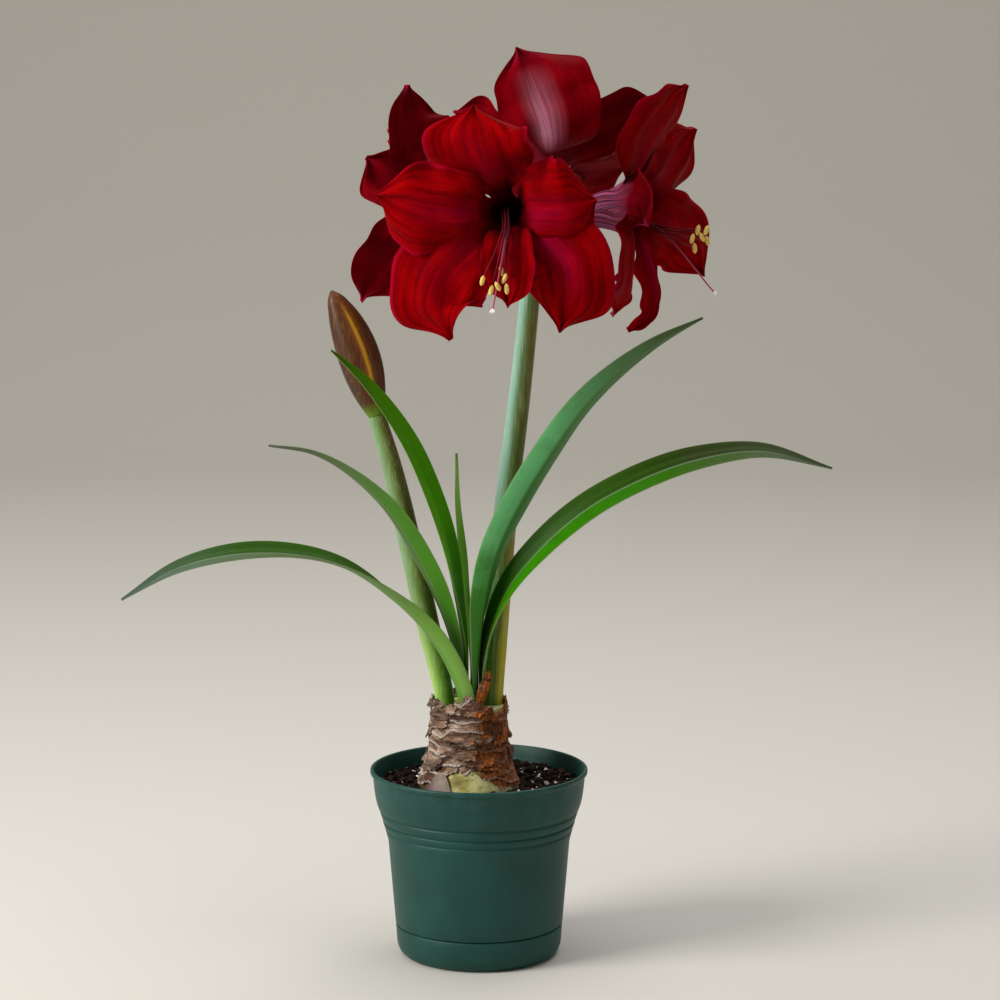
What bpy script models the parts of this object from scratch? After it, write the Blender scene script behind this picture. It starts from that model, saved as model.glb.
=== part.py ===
# Amaryllis bulb in leaf, bud and flower, growing in a clip-saucer plastic pot.
# Lengths are written in millimetres and turned into metres when a mesh is made.
# The origin is the centre of the saucer's underside, +Z is up, -Y is the front of the plant.

import math

import bpy
import bmesh
import numpy as np

for old in list(bpy.data.objects):
    bpy.data.objects.remove(old, do_unlink=True)

MM = 0.001
FIT_GAP = 0.3

# Pot, saucer and soil
POT_RIM_RADIUS = 80.0
POT_RIM_TOP = 139.5
POT_WALL = 2.0
POT_FLOOR_UNDERSIDE = 2.7
POT_FLOOR_TOP = 5.2
POT_SIDES = 30
DRAIN_HOLES = 6
DRAIN_HOLE_RADIUS = 4.5
DRAIN_RING_RADIUS = 36.0
SAUCER_RIM_HEIGHT = 23.4
SAUCER_RADIUS = 61.6
SAUCER_WALL = 2.2
SAUCER_FLOOR = 2.4
SOIL_LEVEL = 126.5
SOIL_RELIEF = 1.6

# Bulb and its papery skin
NECK_CENTRE = (-7.7, 0.0)
NECK_RADIUS = 26.7
NECK_TOP = 187.0
BULB_RADIUS = 43.0
BULB_BOTTOM = 46.0
SKIN_THICKNESS = 1.6
SKIN_SIDES = 30
HOLE_FLOOR = 170.0

# Stalks
STALK_FOOT = (9.2, 4.0)
STALK_RADIUS = 8.5
BUD_STALK_FOOT = (-24.4, 2.0)
BUD_STALK_RADIUS = 7.4
LEAF_HOLE_CENTRE = (-7.6, -11.4)
LEAF_HOLE_RADIUS = 13.0
UMBEL = (41.0, 0.0, 540.0)

# Blades
PETAL_THICKNESS = 0.8
PETAL_ROWS = 10
HIDDEN_PETAL_ROWS = 8
PETAL_COLUMNS = 5
LEAF_ROWS = 16
LEAF_THICKNESS = 2.0
LEAF_EDGE_THICKNESS = 0.8


def unit(v):
    v = np.asarray(v, float)
    return v / np.linalg.norm(v, axis=-1, keepdims=True)


# Smooth values through knots: cubic pieces whose slopes come from the neighbouring knots
def through(stops, values, where):
    stops = np.asarray(stops, float)
    values = np.asarray(values, float)
    flat = values.ndim == 1
    if flat:
        values = values[:, None]
    slopes = np.gradient(values, stops, axis=0)
    where = np.clip(np.asarray(where, float), stops[0], stops[-1])
    i = np.clip(np.searchsorted(stops, where, side="right") - 1, 0, len(stops) - 2)
    step = (stops[i + 1] - stops[i])[:, None]
    f = (where - stops[i])[:, None] / step
    out = ((2 * f ** 3 - 3 * f ** 2 + 1) * values[i] + (f ** 3 - 2 * f ** 2 + f) * step * slopes[i]
           + (3 * f ** 2 - 2 * f ** 3) * values[i + 1] + (f ** 3 - f ** 2) * step * slopes[i + 1])
    return out[:, 0] if flat else out


# Points and unit tangents at even or given fractions of a path through a few points
def along(points, where):
    points = np.asarray(points, float)
    reach = np.linalg.norm(np.diff(points, axis=0), axis=1)
    stops = np.concatenate([[0.0], np.cumsum(reach)]) / reach.sum()
    fine = np.linspace(0, 1, 241)
    dense = through(stops, points, fine)
    length = np.concatenate([[0.0], np.cumsum(np.linalg.norm(np.diff(dense, axis=0), axis=1))])
    length /= length[-1]
    tangent = unit(np.gradient(dense, length, axis=0))
    place = np.stack([np.interp(where, length, dense[:, k]) for k in range(3)], 1)
    heading = np.stack([np.interp(where, length, tangent[:, k]) for k in range(3)], 1)
    return place, unit(heading)


def smooth_rise(x, low, high):
    f = np.clip((np.asarray(x, float) - low) / (high - low), 0, 1)
    return f * f * (3 - 2 * f)


def paint(name, red, green, blue, roughness, metallic=0.0):
    mat = bpy.data.materials.new(name)
    mat.use_nodes = True
    shader = mat.node_tree.nodes["Principled BSDF"]
    shader.inputs["Base Color"].default_value = (red, green, blue, 1.0)
    shader.inputs["Roughness"].default_value = roughness
    shader.inputs["Metallic"].default_value = metallic
    mat.diffuse_color = (red, green, blue, 1.0)
    return mat


def make_object(name, points, faces, mat, smooth=True):
    mesh = bpy.data.meshes.new(name)
    mesh.from_pydata([tuple(p) for p in np.asarray(points) * MM], [], faces)
    bm = bmesh.new()
    bm.from_mesh(mesh)
    bmesh.ops.recalc_face_normals(bm, faces=bm.faces)
    if bm.calc_volume(signed=True) < 0:
        bmesh.ops.reverse_faces(bm, faces=bm.faces)
    bm.to_mesh(mesh)
    bm.free()
    if smooth:
        mesh.shade_smooth()
        mesh.set_sharp_from_angle(angle=math.radians(40))
    mesh.materials.append(mat)
    obj = bpy.data.objects.new(name, mesh)
    bpy.context.scene.collection.objects.link(obj)
    return obj


# Quads between rings of equal count, with a flat cap on each end unless the last ring meets the first
def ring_faces(rows, cols, closed=False):
    faces = []
    for i in range(rows if closed else rows - 1):
        for j in range(cols):
            a = i * cols + j
            b = i * cols + (j + 1) % cols
            c = ((i + 1) % rows) * cols + (j + 1) % cols
            d = ((i + 1) % rows) * cols + j
            faces.append((a, b, c, d))
    if not closed:
        faces.append(tuple(range(cols)))
        faces.append(tuple(reversed(range((rows - 1) * cols, rows * cols))))
    return faces


# A tapering tube along a path, its rings square to the path
def tube_points(points, radii, sides, rows, look=(0.0, 1.0, 0.0), squash=1.0):
    where = np.linspace(0, 1, rows)
    place, heading = along(points, where)
    side = unit(np.asarray(look) - (heading @ np.asarray(look))[:, None] * heading)
    across = np.cross(heading, side)
    radius = through(np.linspace(0, 1, len(radii)), radii, where)[:, None, None]
    turn = np.arange(sides) * 2 * math.pi / sides
    wheel = side[:, None] * np.cos(turn)[:, None] * squash + across[:, None] * np.sin(turn)[:, None]
    return (place[:, None] + radius * wheel).reshape(-1, 3)


# A closed blade from a grid of points: front and back faces half a thickness apart, split alike
def blade_mesh(grid, thickness):
    rows, cols = grid.shape[:2]
    du = np.gradient(grid, axis=0)
    dv = np.gradient(grid, axis=1)
    normal = np.cross(du, dv)
    normal /= np.maximum(np.linalg.norm(normal, axis=-1, keepdims=True), 1e-9)
    half = np.asarray(thickness, float)
    half = (half[..., None] if half.ndim else half) * 0.5
    points = np.concatenate([(grid + normal * half).reshape(-1, 3), (grid - normal * half).reshape(-1, 3)])
    faces = []
    back = rows * cols
    for i in range(rows - 1):
        for j in range(cols - 1):
            a = i * cols + j
            b = a + 1
            c = a + cols + 1
            d = a + cols
            faces += [(a, b, c), (a, c, d), (back + a, back + c, back + b), (back + a, back + d, back + c)]
    rim = [j for j in range(cols)]
    rim += [i * cols + cols - 1 for i in range(1, rows)]
    rim += [(rows - 1) * cols + j for j in range(cols - 2, -1, -1)]
    rim += [i * cols for i in range(rows - 2, 0, -1)]
    for k, a in enumerate(rim):
        b = rim[(k + 1) % len(rim)]
        faces += [(b, a, back + a), (b, back + a, back + b)]
    return points, faces


def cut(obj, cutters, solver="EXACT"):
    for k, cutter in enumerate(cutters):
        cutter.display_type = "WIRE"
        cutter.hide_render = True
        step = obj.modifiers.new("cut %d" % k, "BOOLEAN")
        step.operation = "DIFFERENCE"
        step.object = cutter
        step.solver = solver


# Joins the pieces into the first one with a single union, and removes the rest
def fuse(name, pieces, mat, solver="MANIFOLD"):
    body = pieces[0]
    group = bpy.data.collections.new(name + " pieces")
    bpy.context.scene.collection.children.link(group)
    for piece in pieces[1:]:
        bpy.context.scene.collection.objects.unlink(piece)
        group.objects.link(piece)
    step = body.modifiers.new("union", "BOOLEAN")
    step.operation = "UNION"
    step.operand_type = "COLLECTION"
    step.collection = group
    step.solver = solver
    graph = bpy.context.evaluated_depsgraph_get()
    mesh = bpy.data.meshes.new_from_object(body.evaluated_get(graph))
    body.modifiers.clear()
    for piece in pieces[1:]:
        bpy.data.objects.remove(piece, do_unlink=True)
    bpy.data.collections.remove(group)
    bm = bmesh.new()
    bm.from_mesh(mesh)
    keep_largest(bm)
    bm.to_mesh(mesh)
    bm.free()
    mesh.shade_smooth()
    mesh.set_sharp_from_angle(angle=math.radians(50))
    mesh.name = name
    mesh.materials.clear()
    mesh.materials.append(mat)
    body.data = mesh
    body.name = name
    return body


# Removes all but the largest run of joined faces
def keep_largest(bm):
    left = set(bm.faces)
    groups = []
    while left:
        seed = left.pop()
        found = [seed]
        queue = [seed]
        while queue:
            for edge in queue.pop().edges:
                for face in edge.link_faces:
                    if face in left:
                        left.discard(face)
                        found.append(face)
                        queue.append(face)
        groups.append(found)
    groups.sort(key=len, reverse=True)
    scraps = [face for found in groups[1:] for face in found]
    if scraps:
        bmesh.ops.delete(bm, geom=scraps, context="FACES")
        loose = [v for v in bm.verts if not v.link_faces]
        bmesh.ops.delete(bm, geom=loose, context="VERTS")


# Materials
pot_green = paint("dark green moulded plastic", 0.012, 0.085, 0.058, 0.5)
saucer_green = paint("dark green saucer plastic", 0.011, 0.078, 0.053, 0.5)
soil_brown = paint("potting soil", 0.018, 0.011, 0.008, 0.95)
bulb_cream = paint("fleshy bulb scale", 0.62, 0.56, 0.27, 0.55)
skin_brown = paint("dry bulb skin", 0.30, 0.17, 0.09, 0.85)
husk_brown = paint("dry leaf husk", 0.32, 0.13, 0.03, 0.85)
stalk_green = paint("waxy flower stalk", 0.20, 0.32, 0.19, 0.45)
bud_stalk_green = paint("waxy bud stalk", 0.26, 0.34, 0.12, 0.45)
bud_brown = paint("bronze bud sheath", 0.22, 0.085, 0.025, 0.45)
leaf_green = paint("glossy leaf", 0.07, 0.27, 0.04, 0.38)
petal_red = paint("crimson petal", 0.34, 0.0, 0.008, 0.5)
stamen_red = paint("dark red stamen", 0.22, 0.0, 0.02, 0.45)


# Pot: thin rolled lip, plain band, ribbed shoulder with three grooves, tapering body, stepped foot
pot_outline = [
    (POT_RIM_RADIUS - 1.2, POT_RIM_TOP), (POT_RIM_RADIUS, POT_RIM_TOP - 0.9), (POT_RIM_RADIUS - 0.2, POT_RIM_TOP - 3.6),
    (78.2, 134.6), (76.3, 118.0), (73.6, 109.4), (72.4, 108.3), (72.9, 107.2), (71.1, 101.6), (70.2, 100.8),
    (70.8, 99.8), (69.3, 95.4), (68.6, 94.7), (69.0, 93.8), (66.9, 85.5), (61.9, 24.2), (61.0, 23.8), (57.6, 23.8),
    (55.4, POT_FLOOR_UNDERSIDE + 1.6), (53.8, POT_FLOOR_UNDERSIDE), (0.0, POT_FLOOR_UNDERSIDE)]
pot_inside = [
    (52.0, POT_FLOOR_TOP), (53.6, POT_FLOOR_TOP + 2.0), (55.4, 22.0), (59.6, 27.0), (64.6, 84.0), (66.4, 97.0),
    (70.2, 107.0), (76.2, 132.0), (POT_RIM_RADIUS - 2.2, POT_RIM_TOP)]


# A turned shell whose two faces close on the axis: rings are joined to one centre point on each face
def turned_shell(name, outer, inner, sides, mat):
    outer = np.asarray(outer[:-1] if outer[-1][0] == 0 else outer, float)
    inner = np.asarray(inner, float)
    outline = np.concatenate([outer, inner])
    turn = np.arange(sides) * 2 * math.pi / sides
    rings = np.stack([outline[:, :1] * np.cos(turn), outline[:, :1] * np.sin(turn),
                      np.repeat(outline[:, 1:], sides, axis=1)], -1).reshape(-1, 3)
    below = len(rings)
    points = np.concatenate([rings, [[0, 0, outer[-1, 1]], [0, 0, inner[0, 1]]]])
    faces = []
    last = len(outer) - 1
    count = len(outline)
    for i in range(count):
        if i == last:
            continue
        for j in range(sides):
            k = (j + 1) % sides
            n = (i + 1) % count
            faces.append((i * sides + j, i * sides + k, n * sides + k, n * sides + j))
    for j in range(sides):
        k = (j + 1) % sides
        faces.append((last * sides + j, last * sides + k, below))
        faces.append(((last + 1) * sides + k, (last + 1) * sides + j, below + 1))
    return make_object(name, points, faces, mat)


pot = turned_shell("pot", pot_outline, pot_inside, POT_SIDES, pot_green)

drain_cutters = []
for k in range(DRAIN_HOLES):
    turn = 2 * math.pi * (k + 0.5) / DRAIN_HOLES
    ring = [(DRAIN_HOLE_RADIUS * math.cos(a) + DRAIN_RING_RADIUS * math.cos(turn),
             DRAIN_HOLE_RADIUS * math.sin(a) + DRAIN_RING_RADIUS * math.sin(turn))
            for a in (np.arange(8) + 0.3) * math.pi / 4]
    points = [(x, y, z) for z in (POT_FLOOR_UNDERSIDE - 1.5, POT_FLOOR_TOP + 1.5) for x, y in ring]
    cutter = make_object("drain cutter %d" % k, points, ring_faces(2, 8), pot_green, smooth=False)
    drain_cutters.append(cutter)
cut(pot, drain_cutters)

# Saucer: a shallow dish that the foot of the pot drops into, its wall flush with the pot's body
saucer = turned_shell("saucer", [
    (SAUCER_RADIUS - 0.9, SAUCER_RIM_HEIGHT), (SAUCER_RADIUS, SAUCER_RIM_HEIGHT - 0.8), (60.9, 11.0),
    (60.0, 6.4), (57.6, 2.2), (54.0, 0.0), (0.0, 0.0)], [
    (54.6, SAUCER_FLOOR), (56.6, 3.6), (58.2, 6.6), (58.6, 11.0), (SAUCER_RADIUS - SAUCER_WALL, SAUCER_RIM_HEIGHT)],
    POT_SIDES, saucer_green)

# Bulb: a broad onion shape under the soil, narrowing to a thick neck; the shape also guides the skin and soil
BULB_PROFILE_HEIGHT = [BULB_BOTTOM, 52.0, 66.0, 88.0, 110.0, 127.0, 140.0, 152.0, 164.0, 178.0, NECK_TOP]
BULB_PROFILE_RADIUS = [14.0, 26.0, 39.0, BULB_RADIUS, 41.0, 36.5, 32.0, 28.4, 26.9, 26.5, 26.2]


def bulb_radius(height):
    return through(BULB_PROFILE_HEIGHT, BULB_PROFILE_RADIUS, np.atleast_1d(height))


bulb_rings = [46.0, 52.0, 66.0, 88.0, 110.0, 127.0, 140.0, 152.0, 164.0, NECK_TOP]
bulb_sides = 26
turn = np.arange(bulb_sides) * 2 * math.pi / bulb_sides
radius = bulb_radius(bulb_rings)
points = np.stack([NECK_CENTRE[0] + radius[:, None] * np.cos(turn), NECK_CENTRE[1] + radius[:, None] * np.sin(turn),
                   np.repeat(np.array(bulb_rings)[:, None], bulb_sides, axis=1)], -1).reshape(-1, 3)
bulb = make_object("bulb", points, ring_faces(len(bulb_rings), bulb_sides), bulb_cream)


def plug_cutter(name, centre, radius, low, high, sides):
    ring = [(centre[0] + radius * math.cos(a), centre[1] + radius * math.sin(a))
            for a in (np.arange(sides) + 0.5) * 2 * math.pi / sides]
    points = [(x, y, z) for z in (low, high) for x, y in ring]
    return make_object(name, points, ring_faces(2, sides), bulb_cream, smooth=False)


cut(bulb, [
    plug_cutter("stalk hole", STALK_FOOT, STALK_RADIUS + 0.5, HOLE_FLOOR, NECK_TOP + 5, 20),
    plug_cutter("bud stalk hole", BUD_STALK_FOOT, BUD_STALK_RADIUS + 0.5, HOLE_FLOOR + 0.7, NECK_TOP + 5, 20),
    plug_cutter("leaf hole", LEAF_HOLE_CENTRE, LEAF_HOLE_RADIUS, HOLE_FLOOR + 1.4, NECK_TOP + 5, 20)])


# Skin: a torn papery shell on the neck and shoulder; its hem climbs at the front left to bare the scale
def skin_hem(turn):
    front = np.exp(-(np.angle(np.exp(1j * (turn + math.radians(98)))) / 0.62) ** 2)
    return 130.0 + 15.0 * front + 1.6 * np.sin(5 * turn + 0.6) * front + 0.8 * np.sin(9 * turn)


def skin_top(turn):
    peak = np.exp(-(np.angle(np.exp(1j * (turn + math.radians(88)))) / 0.34) ** 2)
    dip = np.exp(-(np.angle(np.exp(1j * (turn + math.radians(38)))) / 0.42) ** 2)
    return 191.0 + 6.5 * peak - 9.0 * dip + 1.3 * np.sin(7 * turn + 0.4) + 0.9 * np.sin(13 * turn + 2.0)


def skin_grid(rows, sides, lift):
    turn = np.arange(sides) * 2 * math.pi / sides
    f = np.linspace(0, 1, rows)[:, None]
    height = skin_hem(turn) + (skin_top(turn) - skin_hem(turn)) * f
    base = bulb_radius(np.minimum(height, NECK_TOP).ravel()).reshape(height.shape)
    flake = 0.5 + 0.5 * np.sin(3 * turn + 9 * f) * np.sin(7 * turn - 14 * f + 1.0)
    radius = base + FIT_GAP + 0.3 + lift * (SKIN_THICKNESS * (0.75 + 0.6 * flake))
    return np.stack([NECK_CENTRE[0] + radius * np.cos(turn), NECK_CENTRE[1] + radius * np.sin(turn), height], -1)


skin_rows = 7
outer = skin_grid(skin_rows, SKIN_SIDES, 1.0)
inner = skin_grid(skin_rows, SKIN_SIDES, 0.0)[::-1]
skin = make_object("bulb_skin", np.concatenate([outer, inner]).reshape(-1, 3),
                   ring_faces(2 * skin_rows, SKIN_SIDES, closed=True), skin_brown)

# Soil: fills the pot to just below the lip, gently lumpy on top, with a plain hole that the bulb stands in
pot_inside_height = [p[1] for p in pot_inside]
pot_inside_radius = [p[0] for p in pot_inside]
soil_rings = 6
soil_sides = POT_SIDES
turn = np.arange(soil_sides) * 2 * math.pi / soil_sides


def soil_height(x, y):
    return (SOIL_LEVEL + SOIL_RELIEF * (0.6 * np.sin(0.16 * x + 1.1) * np.cos(0.14 * y) + 0.4 * np.sin(0.31 * x - 0.27 * y))
            - 0.9)


top_outer = np.interp(SOIL_LEVEL - 2.8, pot_inside_height, pot_inside_radius) - 0.5
hole_top = bulb_radius(SOIL_LEVEL)[0] + FIT_GAP + 0.7
rings = []
for f in np.linspace(0, 1, soil_rings) ** 1.1:
    cx = NECK_CENTRE[0] * (1 - f)
    reach = hole_top + (top_outer - hole_top) * f
    x = cx + reach * np.cos(turn)
    y = NECK_CENTRE[1] * (1 - f) + reach * np.sin(turn)
    rings.append(np.stack([x, y, soil_height(x, y)], 1))
for height in (107.0, 97.0, 84.0, 27.0, 22.0, POT_FLOOR_TOP + 2.2):
    reach = np.interp(height, pot_inside_height, pot_inside_radius) - 0.5
    rings.append(np.stack([reach * np.cos(turn), reach * np.sin(turn), np.full(soil_sides, height)], 1))
rings.append(np.stack([51.6 * np.cos(turn), 51.6 * np.sin(turn), np.full(soil_sides, POT_FLOOR_TOP + FIT_GAP)], 1))
hole_rings = []
for height in (44.6, 52.0, 66.0, 88.0, 110.0):
    reach = (14.6 if height < 46 else bulb_radius(height)[0] + FIT_GAP + 0.5)
    hole_rings.append(np.stack([NECK_CENTRE[0] + reach * np.cos(turn), NECK_CENTRE[1] + reach * np.sin(turn),
                                np.full(soil_sides, height)], 1))
rings = np.concatenate(rings + hole_rings)
faces = ring_faces(len(rings) // soil_sides, soil_sides, closed=True)
low = (soil_rings + 6) * soil_sides
bottom = [f for f in faces if min(f) >= low and min(f) < low + soil_sides and max(f) < low + 2 * soil_sides]
faces = [f for f in faces if f not in bottom]
faces.append(tuple(range(low, low + soil_sides)))
faces.append(tuple(range(low + soil_sides, low + 2 * soil_sides)))
soil = make_object("soil", rings, faces, soil_brown)

# Stalks
STALK_PATH = [STALK_FOOT + (HOLE_FLOOR + FIT_GAP,), (9.4, 4.0, 191.0), (12.0, 4.0, 232.0), (14.2, 4.0, 264.0),
              (20.5, 3.2, 338.0), (29.5, 2.0, 412.0), (35.5, 1.0, 470.0), (40.2, 0.2, 524.0)]
BUD_STALK_PATH = [BUD_STALK_FOOT + (HOLE_FLOOR + 1.0,), (-25.0, 2.4, 190.0), (-31.2, 5.0, 219.0), (-38.0, 8.0, 248.0),
                  (-51.0, 12.5, 307.0), (-65.0, 17.0, 366.0), (-74.5, 19.0, 398.0)]
bud_stalk = make_object("bud_stalk", tube_points(BUD_STALK_PATH, [6.8, 7.4, 8.4, 8.4, 8.2, 7.4, 6.4], 12, 13),
                        ring_faces(13, 12), bud_stalk_green)

# Bud: two papery bracts closed over the buds, a pointed flattened egg with a shallow seam
bud_path = [(-74.6, 19.0, 398.3), (-79.0, 20.0, 413.0), (-89.0, 22.0, 446.0), (-98.5, 23.3, 470.0),
            (-107.3, 24.0, 489.0)]
bud_rows = 13
bud_sides = 16
where = np.linspace(0, 1, bud_rows)
place, heading = along(bud_path, where)
side = unit(np.array([0.0, 1.0, 0.0]) - heading[:, 1:2] * heading)
across = np.cross(heading, side)
wide = through([0, 0.1, 0.3, 0.5, 0.7, 0.86, 0.95, 1], [6.2, 9.6, 14.2, 15.2, 13.0, 8.8, 5.0, 0.9], where)[:, None, None]
turn = (np.arange(bud_sides) * 2 * math.pi / bud_sides)[:, None]
seam = 1 - 0.05 * np.exp(-(np.sin(turn) / 0.3) ** 2)
bud_points = place[:, None] + wide * seam * (side[:, None] * np.cos(turn) * 0.78 + across[:, None] * np.sin(turn))
bud = make_object("bud", bud_points.reshape(-1, 3), ring_faces(bud_rows, bud_sides), bud_brown)


# Leaves: straps folded along the midrib. Each has midrib points, half widths, and the tilt of its upper
# face towards the front in degrees; lean is -1 for a leaf that arches to the left and 1 to the right.
LEAVES = {
    "leaf_far_left": dict(lean=-1, path=[
        (-9.0, -17.0, 172.0), (-10.0, -18.0, 192.0), (-18.0, -21.0, 216.0), (-34.0, -24.0, 243.0), (-57.0, -28.0, 267.0),
        (-98.0, -34.0, 296.0), (-156.0, -40.0, 306.0), (-213.0, -46.0, 297.0), (-255.0, -50.0, 274.0)],
        half=[6.5, 9.5, 12.0, 12.5, 12.5, 12.0, 8.0, 1.0], tilt=[-60, -48, -30, -5, 12, 24, 30, 32], fold=0.8),
    "leaf_mid_left": dict(lean=-1, path=[
        (-13.2, -5.6, 172.0), (-13.4, -6.0, 190.0), (-15.4, -8.4, 215.0), (-20.0, -12.0, 240.0), (-39.0, -20.0, 293.0),
        (-71.0, -26.0, 343.0), (-118.0, -30.0, 377.0), (-150.0, -32.0, 383.0)],
        half=[5.0, 8.0, 11.0, 12.5, 11.5, 9.0, 5.0, 0.9], tilt=[-4, -15, -30, -40, -40, -35, -30, -30], fold=0.7),
    "leaf_upper_left": dict(lean=-1, path=[
        (-9.8, -6.8, 172.0), (-9.8, -7.0, 195.0), (-10.6, -8.0, 225.0), (-16.0, -10.0, 267.0), (-24.0, -14.0, 312.0),
        (-36.0, -18.0, 349.0), (-53.0, -22.0, 388.0), (-80.0, -27.0, 427.0), (-105.0, -30.0, 451.0)],
        half=[6.0, 8.0, 11.0, 12.0, 11.5, 10.0, 7.0, 0.9], tilt=[-4, 0, 10, 25, 32, 35, 35, 35], fold=0.7),
    "leaf_centre": dict(lean=-1, path=[
        (-6.0, -4.2, 172.0), (-6.0, -4.0, 190.0), (-5.2, 1.6, 212.0), (-7.6, 7.5, 242.0), (-12.4, 12.0, 286.0),
        (-16.0, 13.0, 338.0), (-16.3, 14.0, 371.0)],
        half=[2.6, 4.2, 6.5, 7.5, 7.0, 4.5, 0.9], tilt=[0, -5, -15, -25, -25, -25], fold=0.7),
    "leaf_upper_right": dict(lean=1, path=[
        (-0.8, -9.0, 172.0), (-1.0, -10.0, 190.0), (-1.0, -14.0, 215.0), (0.4, -18.5, 240.0), (3.0, -22.0, 267.0),
        (11.5, -24.0, 303.0), (28.0, -24.5, 339.0), (50.0, -25.0, 375.5), (78.0, -26.0, 414.5), (126.0, -27.0, 455.5),
        (160.0, -28.0, 474.0)],
        half=[5.6, 8.6, 12.2, 13.5, 13.8, 12.2, 8.3, 0.9], tilt=[4, -14, -38, -50, -50, -48, -45, -45], fold=0.7),
    "leaf_right": dict(lean=1, path=[
        (2.9, -10.4, 172.0), (3.2, -10.8, 195.0), (4.4, -12.4, 218.0), (8.8, -15.0, 245.0), (22.0, -18.0, 276.5),
        (45.5, -22.0, 306.5), (78.0, -26.0, 335.5), (116.5, -30.0, 357.5), (158.0, -34.0, 373.0), (201.0, -38.0, 379.5),
        (252.0, -44.0, 368.0)],
        half=[5.2, 8.0, 11.5, 13.5, 13.5, 12.5, 8.5, 0.9], tilt=[4, 15, 35, 42, 42, 40, 35, 32], fold=0.75)}


# A leaf's grid: rows along the midrib, columns across the arc of its folded section
def leaf_grid(leaf, rows, cols):
    where = np.linspace(0, 1, rows)
    place, heading = along(leaf["path"], where)
    away = unit(np.array([0.0, 1.0, 0.0]) - heading[:, 1:2] * heading)
    inward = -leaf["lean"] * np.cross(away, heading)
    knots = np.linspace(0, 1, len(leaf["tilt"]))
    tilt = np.radians(through(knots, leaf["tilt"], where))[:, None]
    half = np.maximum(through(np.linspace(0, 1, len(leaf["half"])), leaf["half"], where), 0.7)
    side = away * np.cos(tilt) + inward * np.sin(tilt)
    face = inward * np.cos(tilt) - away * np.sin(tilt)
    fold = leaf["fold"] * (1 - 0.45 * where)
    t = np.linspace(-1, 1, cols)
    bend = np.outer(fold, t)
    reach = (half / fold)[:, None]
    grid = (place[:, None] + side[:, None] * (reach * np.sin(bend))[..., None]
            + face[:, None] * (reach * (1 - np.cos(bend)))[..., None])
    slim = LEAF_THICKNESS * (1 - 0.5 * where)[:, None] * (1 - 0.55 * np.abs(t)) + 0.05
    return grid, np.maximum(slim, LEAF_EDGE_THICKNESS)


for name, leaf in LEAVES.items():
    grid, slim = leaf_grid(leaf, LEAF_ROWS, 5)
    points, faces = blade_mesh(grid, slim)
    make_object(name, points, faces, leaf_green)

# Dry stub of an old leaf beside the flower stalk
husk_path = [(0.4, -18.2, 172.0), (0.6, -18.4, 190.0), (3.4, -20.0, 203.0), (7.2, -20.0, 213.0)]
place, heading = along(husk_path, np.linspace(0, 1, 6))
t = np.linspace(-1, 1, 3)
half = np.array([1.3, 1.5, 2.2, 3.8, 3.8, 2.0])
grid = place[:, None] + np.array([1.0, 0.0, 0.0]) * (half[:, None] * t)[..., None]
grid[..., 1] -= 0.8 * (1 - t ** 2)
points, faces = blade_mesh(grid, 1.0)
make_object("dry_leaf_stub", points, faces, husk_brown)


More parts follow.
